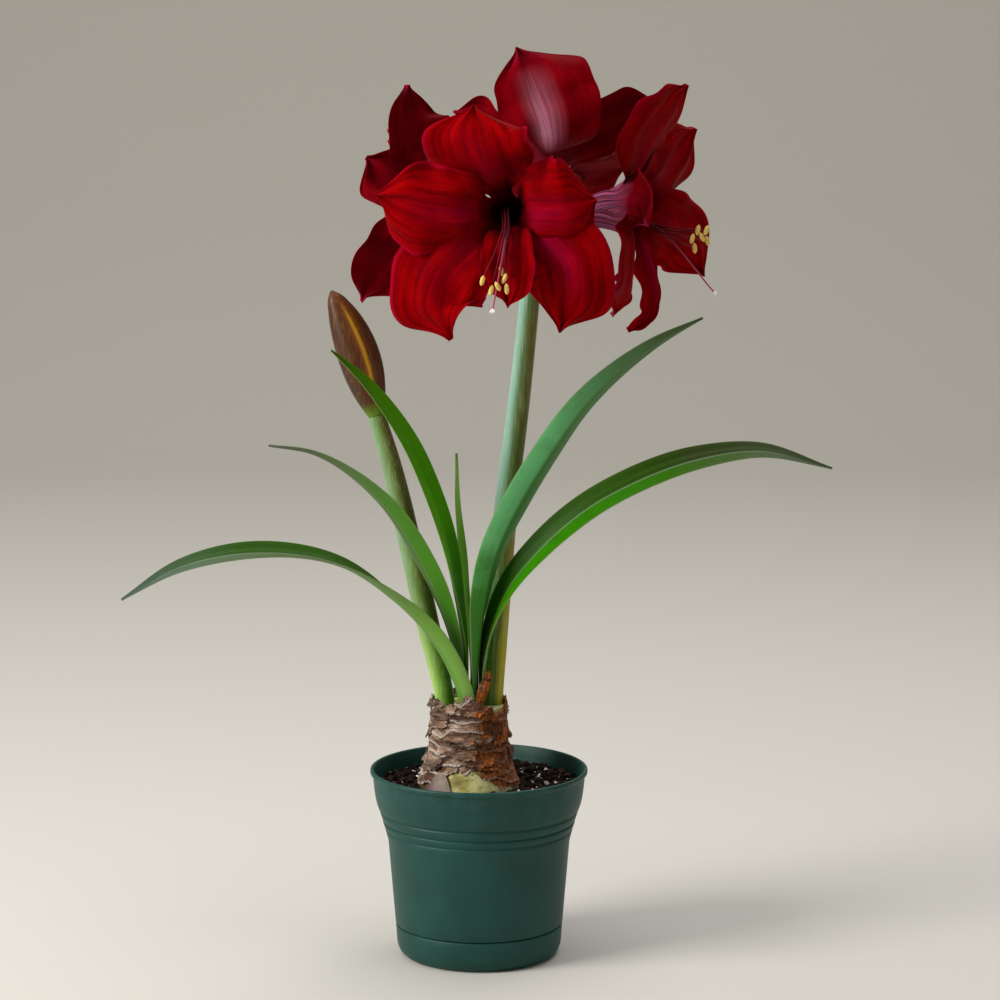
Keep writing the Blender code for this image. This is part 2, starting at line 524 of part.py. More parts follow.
# Blooms. Each has the centre of its throat, the way it faces, and six petals. A petal gives its angle round
# the axis in degrees, whether it is in the outer ring, points on its midrib as offsets from the throat
# (right, back, up), its greatest half widths (clockwise side, other side) seen from the front of the bloom,
# how far its sides curl forward, its twist, and its ruffle.
BLOOMS = {
    "front": dict(throat=(19.0, -75.0, 554.0), facing=(-0.16, -0.98, -0.12), start=0.46, width=13.0, petals=[
        dict(angle=102, outer=True, mid=[(-10, -17, 25), (-22, -24, 50), (-22, -15, 72)], half=(37, 39), curl=-0.3,
             twist=0, ruffle=4.0, phase=0.5),
        dict(angle=5, outer=False, mid=[(17, -17, 0), (38, -26, 0), (63, -21, 8)], half=(45, 38), curl=-0.25, twist=4,
             ruffle=3.0, phase=1.6),
        dict(angle=-52, outer=True, mid=[(17, -15, -13), (42, -21, -34), (46, -19, -55), (38, -14, -84)], half=(34, 31),
             curl=-0.2, twist=-8, ruffle=3.0, phase=2.9),
        dict(angle=-88, outer=False, mid=[(1, -17, -19), (1, -26, -41), (2, -22, -66)], half=(18, 20), curl=0.4,
             twist=0, ruffle=2.0, phase=0.0),
        dict(angle=-132, outer=True, mid=[(-19, -14, -20), (-43, -20, -44), (-50, -18, -66), (-37, -14, -89)],
             half=(36, 34), curl=-0.2, twist=8, ruffle=3.5, phase=4.2),
        dict(angle=178, outer=False, mid=[(-21, -18, -1), (-48, -27, 0), (-70, -25, 5), (-90, -18, 12)], half=(32, 33),
             curl=-0.25, twist=-4, ruffle=3.0, phase=2.2)]),
    "right": dict(throat=(101.0, -5.0, 551.5), facing=(0.82, -0.53, -0.20), start=0.36, width=17.0, petals=[
        dict(angle=95, outer=True, mid=[(9, -8, 24), (21, -15, 46), (37, -14, 68), (47, -6, 87)], half=(32, 34),
             curl=-0.3, twist=0, ruffle=3.0, phase=0.8),
        dict(angle=40, outer=False, mid=[(23, 10, 14), (43, 36, 32), (57, 49, 54)], half=(38, 38), curl=-0.2, twist=0,
             ruffle=3.0, phase=2.0),
        dict(angle=-25, outer=True, mid=[(23, 8, -9), (49, 32, -26), (63, 43, -53)], half=(27, 29), curl=-0.2, twist=0,
             ruffle=3.0, phase=3.3),
        dict(angle=-80, outer=False, mid=[(14, -4, -22), (24, -6, -52), (23, -6, -78), (6, -6, -88)], half=(12, 13),
             curl=-0.6, twist=20, ruffle=1.5, phase=0.0),
        dict(angle=-140, outer=True, mid=[(7, -20, -18), (8, -34, -42), (4, -36, -64), (-6, -32, -75)], half=(31, 20),
             curl=-0.5, twist=-30, ruffle=2.0, phase=1.0),
        dict(angle=165, outer=False, mid=[(6, -22, 5), (17, -40, 4), (18, -54, -10)], half=(24, 24), curl=-0.4,
             twist=10, ruffle=3.0, phase=2.0)]),
    "back": dict(throat=(50.0, 42.0, 574.0), facing=(0.12, 0.80, 0.58), start=0.5, width=13.0, petals=[
        dict(angle=90, outer=True, mid=[(0, -20, 17), (-3, -32, 37), (-9, -31, 55), (-23, -20, 90)], half=(29, 44),
             curl=0.35, twist=0, ruffle=2.5, phase=0.5),
        dict(angle=20, outer=False, mid=[(-16, 3, 14), (-42, 8, 32), (-68, 16, 44)], half=(24, 24), curl=-0.2, twist=0,
             ruffle=3.0, phase=1.5),
        dict(angle=150, outer=False, mid=[(20, 3, 18), (46, 8, 36), (80, 16, 52)], half=(24, 20), curl=-0.2, twist=0,
             ruffle=3.0, phase=2.5),
        dict(angle=-150, outer=True, mid=[(17, 18, -3), (40, 38, 0), (62, 53, 3)], half=(30, 30), curl=-0.2, twist=0,
             ruffle=3.0, phase=3.5),
        dict(angle=-30, outer=True, mid=[(-12, 18, -3), (-31, 43, -1), (-49, 58, -1)], half=(30, 30), curl=-0.2,
             twist=0, ruffle=3.0, phase=4.5),
        dict(angle=-90, outer=False, mid=[(4, 28, -2), (7, 60, -8), (11, 86, -22)], half=(26, 26), curl=-0.2, twist=0,
             ruffle=2.5, phase=5.5)]),
    "left": dict(throat=(-31.0, 18.0, 557.0), facing=(-0.78, 0.62, -0.08), start=0.45, width=13.0, petals=[
        dict(angle=95, outer=True, mid=[(-11, -8, 24), (-20, -16, 53), (-20, -14, 81)], half=(31, 35), curl=-0.3,
             twist=0, ruffle=3.0, phase=0.8),
        dict(angle=30, outer=False, mid=[(-12, -24, 7), (-30, -36, 15), (-49, -36, 30)], half=(28, 27), curl=-0.2,
             twist=0, ruffle=3.0, phase=2.0),
        dict(angle=-35, outer=True, mid=[(-12, -22, -13), (-32, -31, -40), (-53, -26, -73)], half=(25, 26), curl=-0.2,
             twist=0, ruffle=3.0, phase=3.3),
        dict(angle=-90, outer=False, mid=[(-8, 7, -20), (-26, 17, -50), (-38, 27, -66)], half=(24, 24), curl=-0.2,
             twist=0, ruffle=2.5, phase=4.0),
        dict(angle=-150, outer=True, mid=[(-16, 27, -7), (-31, 57, -16), (-39, 77, -25)], half=(30, 30), curl=-0.2,
             twist=0, ruffle=3.0, phase=5.0),
        dict(angle=150, outer=False, mid=[(-12, 22, 11), (-27, 47, 25), (-35, 67, 39)], half=(28, 28), curl=-0.2,
             twist=0, ruffle=3.0, phase=6.0)])}

# Stamens: where the pollen sacs and the stigma hang, as offsets from the throat (right, back, up)
STAMENS = {
    "front": dict(sag=(0.5, -22.0, -14.0), stigma=(-8.5, -44.0, -66.0), tips=[
        (-15.5, -40.0, -46.0), (-9.5, -38.0, -53.0), (-5.0, -40.0, -50.0), (-0.5, -36.0, -45.0), (1.0, -38.0, -52.0),
        (-2.5, -32.0, -40.0)]),
    "right": dict(sag=(26.0, -16.0, -14.0), stigma=(66.0, -40.0, -58.0), tips=[
        (50.0, -38.0, -20.0), (54.0, -36.0, -14.0), (57.0, -36.0, -19.0), (60.0, -38.0, -14.0), (52.0, -34.0, -27.0),
        (61.0, -32.0, -22.0)]),
    "back": dict(sag=(4.0, 26.0, 6.0), stigma=(10.0, 62.0, 8.0), tips=[
        (-2.0, 50.0, 22.0), (3.0, 52.0, 16.0), (8.0, 50.0, 22.0), (12.0, 48.0, 15.0), (-5.0, 48.0, 13.0),
        (6.0, 54.0, 9.0)]),
    "left": dict(sag=(-14.0, 12.0, -8.0), stigma=(-36.0, 40.0, -24.0), tips=[
        (-27.0, 28.0, -12.0), (-30.0, 27.0, -17.0), (-27.0, 34.0, -18.0), (-31.0, 33.0, -12.0), (-25.0, 28.0, -20.0),
        (-29.0, 35.0, -23.0)])}
FILAMENT_RADIUS = 0.7
ANTHER_LENGTH = 7.6
TUBE_RADIUS = 5.2
OUTER_RING_STEP = 1.3


def bloom_frame(bloom):
    throat = np.array(bloom["throat"])
    facing = unit(bloom["facing"])
    right = unit(np.cross([0.0, 0.0, 1.0], facing))
    up = np.cross(facing, right)
    foot = np.array(UMBEL) + (throat - np.array(UMBEL)) * bloom["start"]
    return throat, facing, right, up, foot


# Rows of a petal: two in the tube, one at the throat, and the rest closing up towards the tip
def petal_rows(neck, rows):
    limb = np.sin(np.linspace(0, 1, rows - 2) * math.pi / 2) ** 1.15
    return np.concatenate([[0.0, neck * 0.55], neck + (1 - neck) * limb])


# A petal's grid: the midrib leaves the tube, turns out at the throat and runs to the tip. Each row is an arc:
# round the tube's axis at the foot, then opened to the limb's own curl, with waves that grow to the margins.
def petal_grid(bloom, petal, rows, cols):
    throat, facing, right, up, foot = bloom_frame(bloom)
    angle = math.radians(petal["angle"])
    out = right * math.cos(angle) + up * math.sin(angle)
    step = OUTER_RING_STEP if petal["outer"] else 0.0
    tube_way = unit(throat - foot)
    out_foot = unit(out - (out @ tube_way) * tube_way)
    throat_radius = bloom["width"]
    path = [foot + out_foot * (TUBE_RADIUS + step), throat + out * (throat_radius + step)]
    path += [throat + np.array(p, float) for p in petal["mid"]]
    reach = np.linalg.norm(np.diff(np.array(path), axis=0), axis=1)
    neck = reach[0] / reach.sum()
    where = petal_rows(neck, rows)
    place, heading = along(path, where)
    limb = (where - neck) / (1 - neck)
    stops = [0, neck] + [neck + f * (1 - neck) for f in (0.22, 0.48, 0.68, 0.82, 0.90, 0.96, 1.0)]
    shape = through(stops, [0.14, 0.36, 0.80, 1.0, 1.0, 0.80, 0.42, 0.12, 0.02], where)
    round_tube = through(stops, [3.4, 0.64 * throat_radius, 3.0, 0, 0, 0, 0, 0, 0], where)
    blend = smooth_rise(where, neck * 0.9, neck + 0.25 * (1 - neck))
    t = np.linspace(-1, 1, cols)
    widest = np.where(t < 0, petal["half"][0], petal["half"][1])
    half = np.maximum(round_tube[:, None] * (1 - blend[:, None]) + shape[:, None] * widest * blend[:, None], 0.5)
    bend = through([0, neck, neck + 0.3 * (1 - neck), 1], [0.86, 0.75, petal["curl"], petal["curl"] * 1.2], where)
    bend = np.where(np.abs(bend) < 0.02, 0.02, bend)[:, None]
    side = unit(np.cross(facing, out))
    side = unit(side - (heading @ side)[:, None] * heading)
    face = np.cross(heading, side)
    twist = np.radians(petal["twist"]) * smooth_rise(where, neck, 1)[:, None]
    side, face = side * np.cos(twist) + face * np.sin(twist), face * np.cos(twist) - side * np.sin(twist)
    turn = bend * t
    free = smooth_rise(limb, 0.0, 0.35)[:, None]
    wave = petal["ruffle"] * free * np.abs(t) ** 1.6 * np.sin(
        2 * math.pi * 2.1 * where[:, None] + petal["phase"] + 1.9 * np.sign(t))
    rib = -1.2 * free * np.exp(-(t / 0.16) ** 2)
    grid = (place[:, None] + side[:, None] * (half / bend * np.sin(turn))[..., None]
            + face[:, None] * (half / bend * (1 - np.cos(turn)) + wave + rib)[..., None])
    return grid


for bloom_name, bloom in BLOOMS.items():
    throat, facing, right, up, foot = bloom_frame(bloom)
    tube_way = unit(throat - foot)
    start = foot - tube_way * 1.0
    plug = tube_points([start, foot + tube_way * 3.0, foot + tube_way * 7.0], [7.0, 7.8, 8.2], 12, 3,
                       look=tuple(unit(np.cross(tube_way, [0.3, 0.2, 1.0]))))
    pieces = [make_object("plug", plug, ring_faces(3, 12), petal_red)]
    for petal in bloom["petals"]:
        rows = PETAL_ROWS if bloom_name in ("front", "right") else HIDDEN_PETAL_ROWS
        points, faces = blade_mesh(petal_grid(bloom, petal, rows, PETAL_COLUMNS), PETAL_THICKNESS)
        pieces.append(make_object("petal", points, faces, petal_red))
    threads = STAMENS[bloom_name]
    side = unit(np.cross(tube_way, [0.3, 0.2, 1.0]))
    top = np.cross(side, tube_way)
    for k, tip in enumerate(threads["tips"] + [threads["stigma"]]):
        spin = 2 * math.pi * k / 6
        ring = (side * math.cos(spin) + top * math.sin(spin)) * (2.6 if k < 6 else 0.0)
        end = throat + np.array(tip)
        path = [foot + tube_way * 5.0 + ring, throat + ring * 0.9 - facing * 4.0, throat + np.array(threads["sag"]) + ring, end]
        thread = tube_points(path, [FILAMENT_RADIUS * 1.2, FILAMENT_RADIUS], 3, 4, look=tuple(side))
        pieces.append(make_object("filament", thread, ring_faces(4, 3), stamen_red))
        if k < 6:
            lean = unit(np.array([0.5 * math.sin(2.3 * k + 0.4), 0.3 * math.cos(1.7 * k), 0.8 + 0.1 * k]))
            sac = [end - lean * ANTHER_LENGTH / 2, end, end + lean * ANTHER_LENGTH / 2]
            pieces.append(make_object("anther", tube_points(sac, [0.9, 1.8, 0.9], 3, 3, look=(1.0, 0.3, 0.0)),
                                      ring_faces(3, 3), stamen_red))
    fuse("bloom_" + bloom_name, pieces, petal_red)

# Flower stalk with the four short flower stems and seed pods that carry the blooms
stalk_points = tube_points(STALK_PATH, [8.3, 8.8, 8.9, 8.4, 7.9, 7.4, 7.2], 12, 13)
pieces = [make_object("stalk", stalk_points, ring_faces(13, 12), stalk_green)]
for bloom_name, bloom in BLOOMS.items():
    throat, facing, right, up, foot = bloom_frame(bloom)
    tube_way = unit(throat - foot)
    top = foot - tube_way * (1.0 + FIT_GAP)
    pod = top - tube_way * 16.0
    root = np.array([40.2, 0.2, 519.0])
    path = [root, root + np.array([0.0, 0.0, 12.0]) * 0.7 + (pod - root) * 0.35, pod, top - tube_way * 7.0, top]
    stem = tube_points(path, [4.6, 4.4, 4.6, 6.8, 6.6], 8, 8, look=tuple(unit(np.cross(tube_way, [0.3, 0.2, 1.0]))))
    pieces.append(make_object("stem", stem, ring_faces(8, 8), stalk_green))
fuse("flower_stalk", pieces, stalk_green)
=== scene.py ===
# Amaryllis in a pot, dressed for the studio. Shapes are worked out in millimetres on grids and
# written to the meshes in metres; x is to the viewer's right, -y is the front, z is up.

import math

import bmesh
import bpy
import numpy as np
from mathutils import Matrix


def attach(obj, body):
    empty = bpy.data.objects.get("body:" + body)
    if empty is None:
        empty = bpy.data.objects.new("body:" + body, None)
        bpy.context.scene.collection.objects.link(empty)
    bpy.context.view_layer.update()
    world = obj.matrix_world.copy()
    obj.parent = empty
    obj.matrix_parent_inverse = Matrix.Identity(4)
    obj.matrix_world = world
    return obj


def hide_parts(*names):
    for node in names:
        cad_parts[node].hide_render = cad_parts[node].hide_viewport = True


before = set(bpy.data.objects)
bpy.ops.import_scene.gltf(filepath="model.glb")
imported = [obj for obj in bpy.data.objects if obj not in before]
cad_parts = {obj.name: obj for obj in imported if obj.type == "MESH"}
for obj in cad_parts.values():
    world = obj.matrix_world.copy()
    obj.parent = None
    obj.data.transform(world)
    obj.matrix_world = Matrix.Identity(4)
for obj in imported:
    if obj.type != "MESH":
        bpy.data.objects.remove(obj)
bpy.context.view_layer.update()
print("frame loaded:", len(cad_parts), "nodes")

inMetres = 0.001
circle = 2 * math.pi


# Shape helpers

def unit(v):
    v = np.asarray(v, float)
    return v / np.maximum(np.linalg.norm(v, axis=-1, keepdims=True), 1e-9)


# Cubic through knots: between two knots the value is the cubic with the knots' values and mean slopes
def throughKnots(stops, values, where):
    stops = np.asarray(stops, float)
    values = np.asarray(values, float)
    flat = values.ndim == 1
    if flat:
        values = values[:, None]
    slopes = np.gradient(values, stops, axis=0)
    where = np.clip(np.asarray(where, float), stops[0], stops[-1])
    i = np.clip(np.searchsorted(stops, where, side="right") - 1, 0, len(stops) - 2)
    step = (stops[i + 1] - stops[i])[:, None]
    f = (where - stops[i])[:, None] / step
    out = ((2 * f ** 3 - 3 * f ** 2 + 1) * values[i] + (f ** 3 - 2 * f ** 2 + f) * step * slopes[i]
           + (3 * f ** 2 - 2 * f ** 3) * values[i + 1] + (f ** 3 - f ** 2) * step * slopes[i + 1])
    return out[:, 0] if flat else out


# Place and unit tangent at fractions of the length of a smooth path through a few points
def alongPath(points, where):
    points = np.asarray(points, float)
    reach = np.linalg.norm(np.diff(points, axis=0), axis=1)
    stops = np.concatenate([[0.0], np.cumsum(reach)]) / reach.sum()
    dense = throughKnots(stops, points, np.linspace(0, 1, 241))
    length = np.concatenate([[0.0], np.cumsum(np.linalg.norm(np.diff(dense, axis=0), axis=1))])
    length /= length[-1]
    tangent = unit(np.gradient(dense, length, axis=0))
    place = np.stack([np.interp(where, length, dense[:, k]) for k in range(3)], 1)
    heading = np.stack([np.interp(where, length, tangent[:, k]) for k in range(3)], 1)
    return place, unit(heading)


def smoothRise(x, low, high):
    f = np.clip((np.asarray(x, float) - low) / (high - low), 0, 1)
    return f * f * (3 - 2 * f)


# Soft noise of two parameters: a sum of sines whose waves shorten and weaken from one to the next
def softNoise(x, y, seed=0.0, octaves=4):
    total = 0.0
    for k in range(octaves):
        grow = 1.9 ** k
        total = total + np.sin(grow * (x * 1.13 + y * 0.71) + 1.7 * seed + k) * np.sin(
            grow * (y * 1.31 - x * 0.57) + 2.9 * seed + 2.3 * k) / 1.6 ** k
    return total


def around(sides):
    return np.arange(sides) * circle / sides


# Quads of a grid of rows by cols points; with wrap the last column meets the first
def gridQuads(rows, cols, wrap=False):
    i, j = np.meshgrid(np.arange(rows - 1), np.arange(cols if wrap else cols - 1), indexing="ij")
    a = i * cols + j
    b = i * cols + (j + 1) % cols
    return np.stack([a, b, b + cols, a + cols], -1).reshape(-1, 4).tolist()


# Closed blade: the grid moved half a thickness to each side along its normal (the cross product of its two
# slopes), with a band of quads round the rim. Its marks are across, along and side (0 front, 1 back).
def closedBlade(grid, thickness, across, along):
    rows, cols = grid.shape[:2]
    flat = np.ones((rows, cols))
    normal = unit(np.cross(np.gradient(grid, axis=0), np.gradient(grid, axis=1)))
    half = (np.asarray(thickness, float) * flat)[..., None] * 0.5
    points = np.concatenate([grid + normal * half, grid - normal * half]).reshape(-1, 3)
    back = rows * cols
    quads = np.array(gridQuads(rows, cols))
    rim = np.concatenate([np.arange(cols), np.arange(1, rows) * cols + cols - 1,
                          (rows - 1) * cols + np.arange(cols - 2, -1, -1), np.arange(rows - 2, 0, -1) * cols])
    band = np.stack([rim, np.roll(rim, -1), np.roll(rim, -1) + back, rim + back], 1)
    faces = np.concatenate([quads[:, ::-1], quads + back, band])
    return points, faces.tolist(), {"across": np.tile((across * flat).ravel(), 2),
                                    "along": np.tile((along * flat).ravel(), 2),
                                    "side": np.repeat([0.0, 1.0], back)}


# Closed ring-shaped sheet: the outer rows, then the inner rows from the far edge back, joined at both edges
def closedRing(outer, inner):
    rows, sides = outer.shape[:2]
    ring, last = np.arange(sides), (2 * rows - 1) * sides
    join = np.stack([last + ring, last + np.roll(ring, -1), np.roll(ring, -1), ring], 1)
    points = np.concatenate([outer, inner[::-1]]).reshape(-1, 3)
    return points, gridQuads(2 * rows, sides, True) + join.tolist()


# Tube: rings of the given radius square to the path; each end is closed by a flat ring
def tubeGrid(points, radii, sides, rows, look=(0.0, 1.0, 0.0)):
    where = np.linspace(0, 1, rows)
    place, heading = alongPath(points, where)
    side = unit(np.asarray(look) - (heading @ np.asarray(look))[:, None] * heading)
    across = np.cross(heading, side)
    radius = throughKnots(np.linspace(0, 1, len(radii)), radii, where)[:, None, None]
    turn = around(sides)
    wheel = side[:, None] * np.cos(turn)[:, None] + across[:, None] * np.sin(turn)[:, None]
    return place[:, None] + radius * wheel


def closedTube(grid, **extra):
    rows, cols = grid.shape[:2]
    ring = np.arange(cols)
    faces = gridQuads(rows, cols, True) + [ring[::-1].tolist(), (ring + (rows - 1) * cols).tolist()]
    marks = {"across": np.tile(ring / cols, rows), "along": np.repeat(np.linspace(0, 1, rows), cols),
             "side": np.zeros(rows * cols), **extra}
    return grid.reshape(-1, 3), faces, marks


# Moves every ring of a tube in or out from its own middle by a factor
def swell(grid, factor):
    middle = grid.mean(axis=1, keepdims=True)
    return middle + (grid - middle) * factor


# Gathers several closed shapes into one mesh
class Gather:
    def __init__(self):
        self.points, self.faces, self.marks, self.count = [], [], {}, 0

    def add(self, shape, **extra):
        points, faces, marks = shape
        self.points.append(points)
        self.faces += [[v + self.count for v in face] for face in faces]
        for key, value in list(marks.items()) + [(k, np.full(len(points), v)) for k, v in extra.items()]:
            self.marks.setdefault(key, []).append(value)
        self.count += len(points)

    def shape(self):
        return (np.concatenate(self.points), self.faces,
                {key: np.concatenate(value) for key, value in self.marks.items()})


def newMesh(name, points, faces):
    mesh = bpy.data.meshes.new(name)
    mesh.from_pydata((np.asarray(points) * inMetres).tolist(), [], faces)
    return mesh


def addObject(name, data):
    item = bpy.data.objects.new(name, data)
    bpy.context.scene.collection.objects.link(item)
    return item


# Writes a shape to a new object that rides on the plant, with its marks as attributes and as a UV map
def makePiece(name, shape, material, replaced=(), sharpAngle=50):
    points, faces, marks = shape
    mesh = newMesh(name, points, faces)
    for key, value in marks.items():
        mesh.attributes.new(key, "FLOAT", "POINT").data.foreach_set("value", np.asarray(value, np.float32))
    bm = bmesh.new()
    bm.from_mesh(mesh)
    bmesh.ops.recalc_face_normals(bm, faces=bm.faces)
    bm.to_mesh(mesh)
    bm.free()
    if "across" in marks:
        corner = np.zeros(len(mesh.loops), np.int32)
        mesh.loops.foreach_get("vertex_index", corner)
        uv = np.stack([np.asarray(marks["across"])[corner], np.asarray(marks["along"])[corner]], 1)
        mesh.uv_layers.new(name="UVMap").data.foreach_set("uv", uv.astype(np.float32).ravel())
    mesh.shade_smooth()
    mesh.set_sharp_from_angle(angle=math.radians(sharpAngle))
    mesh.materials.append(material)
    piece = addObject(name, mesh)
    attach(piece, "root")
    if replaced:
        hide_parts(*replaced)
    return piece


# Material helpers

def fromHex(text):
    value = np.array([int(text[k:k + 2], 16) for k in (1, 3, 5)]) / 255
    linear = np.where(value <= 0.04045, value / 12.92, ((value + 0.055) / 1.055) ** 2.4)
    return (*linear, 1.0)


# Gives a socket its value: a link from another socket, a hex colour or a number
def feed(tree, socket, value):
    if isinstance(value, bpy.types.NodeSocket):
        tree.links.new(value, socket)
    else:
        socket.default_value = fromHex(value) if isinstance(value, str) else value


def addNode(tree, kind, sockets=None, **settings):
    node = tree.nodes.new(kind)
    for key, value in settings.items():
        setattr(node, key, value)
    for key, value in (sockets or {}).items():
        feed(tree, node.inputs[key], value)
    return node


# One material and its node tree, with short calls for what the looks are made of
class Paint:
    def __init__(self, name, sockets):
        self.material = bpy.data.materials.new(name)
        self.material.use_nodes = True
        self.tree = self.material.node_tree
        self.shader = self.tree.nodes["Principled BSDF"]
        for key, value in sockets.items():
            feed(self.tree, self.shader.inputs[key], value)

    def mark(self, name):
        return addNode(self.tree, "ShaderNodeAttribute", attribute_name=name).outputs["Fac"]

    def math(self, operation, a, b=0.0, clamp=False):
        node = addNode(self.tree, "ShaderNodeMath", {0: a, 1: b}, operation=operation, use_clamp=clamp)
        return node.outputs[0]

    def times(self, a, b):
        return self.math("MULTIPLY", a, b)

    # A value moved by a noise: value + (noise - middle) * amount
    def shifted(self, value, noise, middle, amount):
        return self.math("ADD", value, self.times(self.math("SUBTRACT", noise, middle), amount))

    # Ramp through stops of (place, value), where a value is a grey level or a hex colour
    def ramp(self, source, *stops):
        node = addNode(self.tree, "ShaderNodeValToRGB", {"Fac": source})
        elements = node.color_ramp.elements
        elements[1].position = stops[-1][0]
        elements[0].position = stops[0][0]
        for place, value in stops[1:-1]:
            elements.new(place)
        for element, (place, value) in zip(elements, stops):
            element.color = fromHex(value) if isinstance(value, str) else (value, value, value, 1.0)
        return node.outputs["Color"]

    # Straight run from start to end while the source goes from low to high
    def fade(self, source, low, high, start, end):
        return addNode(self.tree, "ShaderNodeMapRange", {"Value": source, "From Min": low, "From Max": high,
                                                         "To Min": start, "To Max": end}).outputs[0]

    # Colours laid over a base one after the other. A row ends with its colour; before that stands its mask,
    # or the mask's source and ramp stops.
    def layers(self, colour, *rows):
        for *mask, top in rows:
            factor = self.ramp(*mask) if len(mask) > 1 else mask[0]
            node = addNode(self.tree, "ShaderNodeMix", {"Factor": factor}, data_type="RGBA")
            feed(self.tree, node.inputs[6], colour)
            feed(self.tree, node.inputs[7], top)
            colour = node.outputs[2]
        return colour

    def coordinates(self, kind="Object"):
        return addNode(self.tree, "ShaderNodeTexCoord").outputs[kind]

    def coordinate(self, axis):
        return addNode(self.tree, "ShaderNodeSeparateXYZ", {0: self.coordinates()}).outputs[axis]

    # Noise in object space; size is the width of one blotch in metres, stretch its length along each axis
    def noise(self, size, detail=3.0, rough=0.55, stretch=(1, 1, 1), kind="Object"):
        scaled = addNode(self.tree, "ShaderNodeMapping", {"Vector": self.coordinates(kind),
                                                          "Scale": tuple(1 / s for s in stretch)})
        return addNode(self.tree, "ShaderNodeTexNoise", {"Vector": scaled.outputs[0], "Scale": 1 / size,
                                                         "Detail": detail, "Roughness": rough}).outputs["Fac"]

    # Joins the colour, the roughness and a bump of (height, strength, distance) to the shader
    def finish(self, colour, bump=None, roughness=None):
        feed(self.tree, self.shader.inputs["Base Color"], colour)
        if roughness is not None:
            feed(self.tree, self.shader.inputs["Roughness"], roughness)
        if bump is not None:
            node = addNode(self.tree, "ShaderNodeBump", dict(zip(("Height", "Strength", "Distance"), bump)))
            feed(self.tree, self.shader.inputs["Normal"], node.outputs[0])
        return self.material


print("helpers ready")

# Pot and saucer

pot = {
    "sides": 160, "drainHoles": 6, "drainRadius": 4.5, "drainRing": 36.0,
    "lit": "#144842", "deep": "#0f3a33", "dust": "#3c6460"}
potOutside = [
    (78.2, 139.5), (79.2, 139.4), (79.8, 139), (80, 138.2), (79.9, 136.4), (79.3, 135.6), (78.4, 135.1),
    (78.1, 134.2), (77.6, 129), (77, 123.4), (76.2, 118), (75.2, 113.6), (74, 110.2), (73.5, 109.4), (72.5,
    108.9), (72.3, 108.2), (72.6, 107.6), (72.9, 107.1), (72, 104.4), (71.2, 101.8), (70.3, 101.2), (70.1,
    100.7), (70.5, 100.2), (70.8, 99.7), (70.1, 97.4), (69.4, 95.5), (68.7, 95), (68.5, 94.6), (68.8, 94.1),
    (69, 93.7), (67.9, 89.8), (66.9, 85.5), (66.3, 78), (64.8, 60), (63.3, 42), (61.9, 24.6), (61.5, 24),
    (60.8, 23.8), (57.6, 23.8), (56.6, 14), (55.4, 4.3), (54.8, 3.2), (53.8, 2.7)]
potInside = [
    (52, 5.2), (53, 5.8), (53.6, 7.2), (55.4, 22), (59.6, 27), (64.6, 84), (66.4, 97), (70.2, 107), (74.4,
    123), (76.2, 132), (77.3, 138.4), (77.7, 139.2)]


# Body of revolution: each outline point (radius, height) turned round the z axis, with a centre point on
# each floor
def turnedShell(outside, inside, sides):
    outline = np.array(outside + inside)
    turn = around(sides)
    rings = np.stack([outline[:, :1] * np.cos(turn), outline[:, :1] * np.sin(turn),
                      np.repeat(outline[:, 1:], sides, axis=1)], -1).reshape(-1, 3)
    last, count, ring = len(outside) - 1, len(outline), np.arange(sides)
    after = np.roll(ring, -1)
    faces = []
    for i in [i for i in range(count) if i != last]:
        i, n = i * sides, (i + 1) % count * sides
        faces += np.stack([i + ring, i + after, n + after, n + ring], 1).tolist()
    faces += np.stack([last * sides + ring, last * sides + after, np.full(sides, len(rings))], 1).tolist()
    faces += np.stack([(last + 1) * sides + after, (last + 1) * sides + ring,
                       np.full(sides, len(rings) + 1)], 1).tolist()
    return np.concatenate([rings, [[0, 0, outside[-1][1]], [0, 0, inside[0][1]]]]), faces, {}


# Polypropylene, injection moulded: slightly oily satin, a fine orange peel, and dust dulling it near the rim
def mouldedPlastic(name, lit, deep, dust):
    paint = Paint(name, {"IOR": 1.49, "Specular IOR Level": 0.3})
    cloud = paint.noise(0.05)
    rimDust = paint.times(paint.ramp(paint.noise(0.012, 4.0, 0.65), (0.45, 0.0), (0.8, 1.0)),
                          paint.fade(paint.coordinate(2), 0.112, 0.139, 0.05, 0.4))
    colour = paint.layers(deep, (cloud, (0.3, 0.0), (0.75, 1.0), lit),
                          (paint.noise(0.0022, 2.0, 0.6), (0.7, 0.0), (0.8, 0.25), dust), (rimDust, dust))
    return paint.finish(colour, (paint.noise(0.0012, 2.0), 0.18, 0.0003),
                        paint.ramp(cloud, (0.2, 0.42), (0.8, 0.56)))


potTones = [pot[key] for key in ("lit", "deep", "dust")]
potPiece = makePiece("pot_body", turnedShell(potOutside, potInside, pot["sides"]),
                     mouldedPlastic("moulded green polypropylene", *potTones), ["pot"], 60)
drills = Gather()
for k in range(pot["drainHoles"]):
    turn = circle * (k + 0.5) / pot["drainHoles"]
    centre = np.array([math.cos(turn), math.sin(turn), 0.0]) * pot["drainRing"]
    path = [centre + [0, 0, z] for z in (0.0, 4.0, 8.0)]
    drills.add(closedTube(tubeGrid(path, [pot["drainRadius"]] * 3, 24, 3)))
drill = addObject("drain drills", newMesh("drain drills", *drills.shape()[:2]))
cutStep = potPiece.modifiers.new("drain holes", "BOOLEAN")
cutStep.operation, cutStep.solver, cutStep.object = "DIFFERENCE", "MANIFOLD", drill
drilled = bpy.data.meshes.new_from_object(potPiece.evaluated_get(bpy.context.evaluated_depsgraph_get()))
potPiece.modifiers.clear()
potPiece.data = drilled
potPiece.data.name = "pot_body"
bpy.data.objects.remove(drill, do_unlink=True)

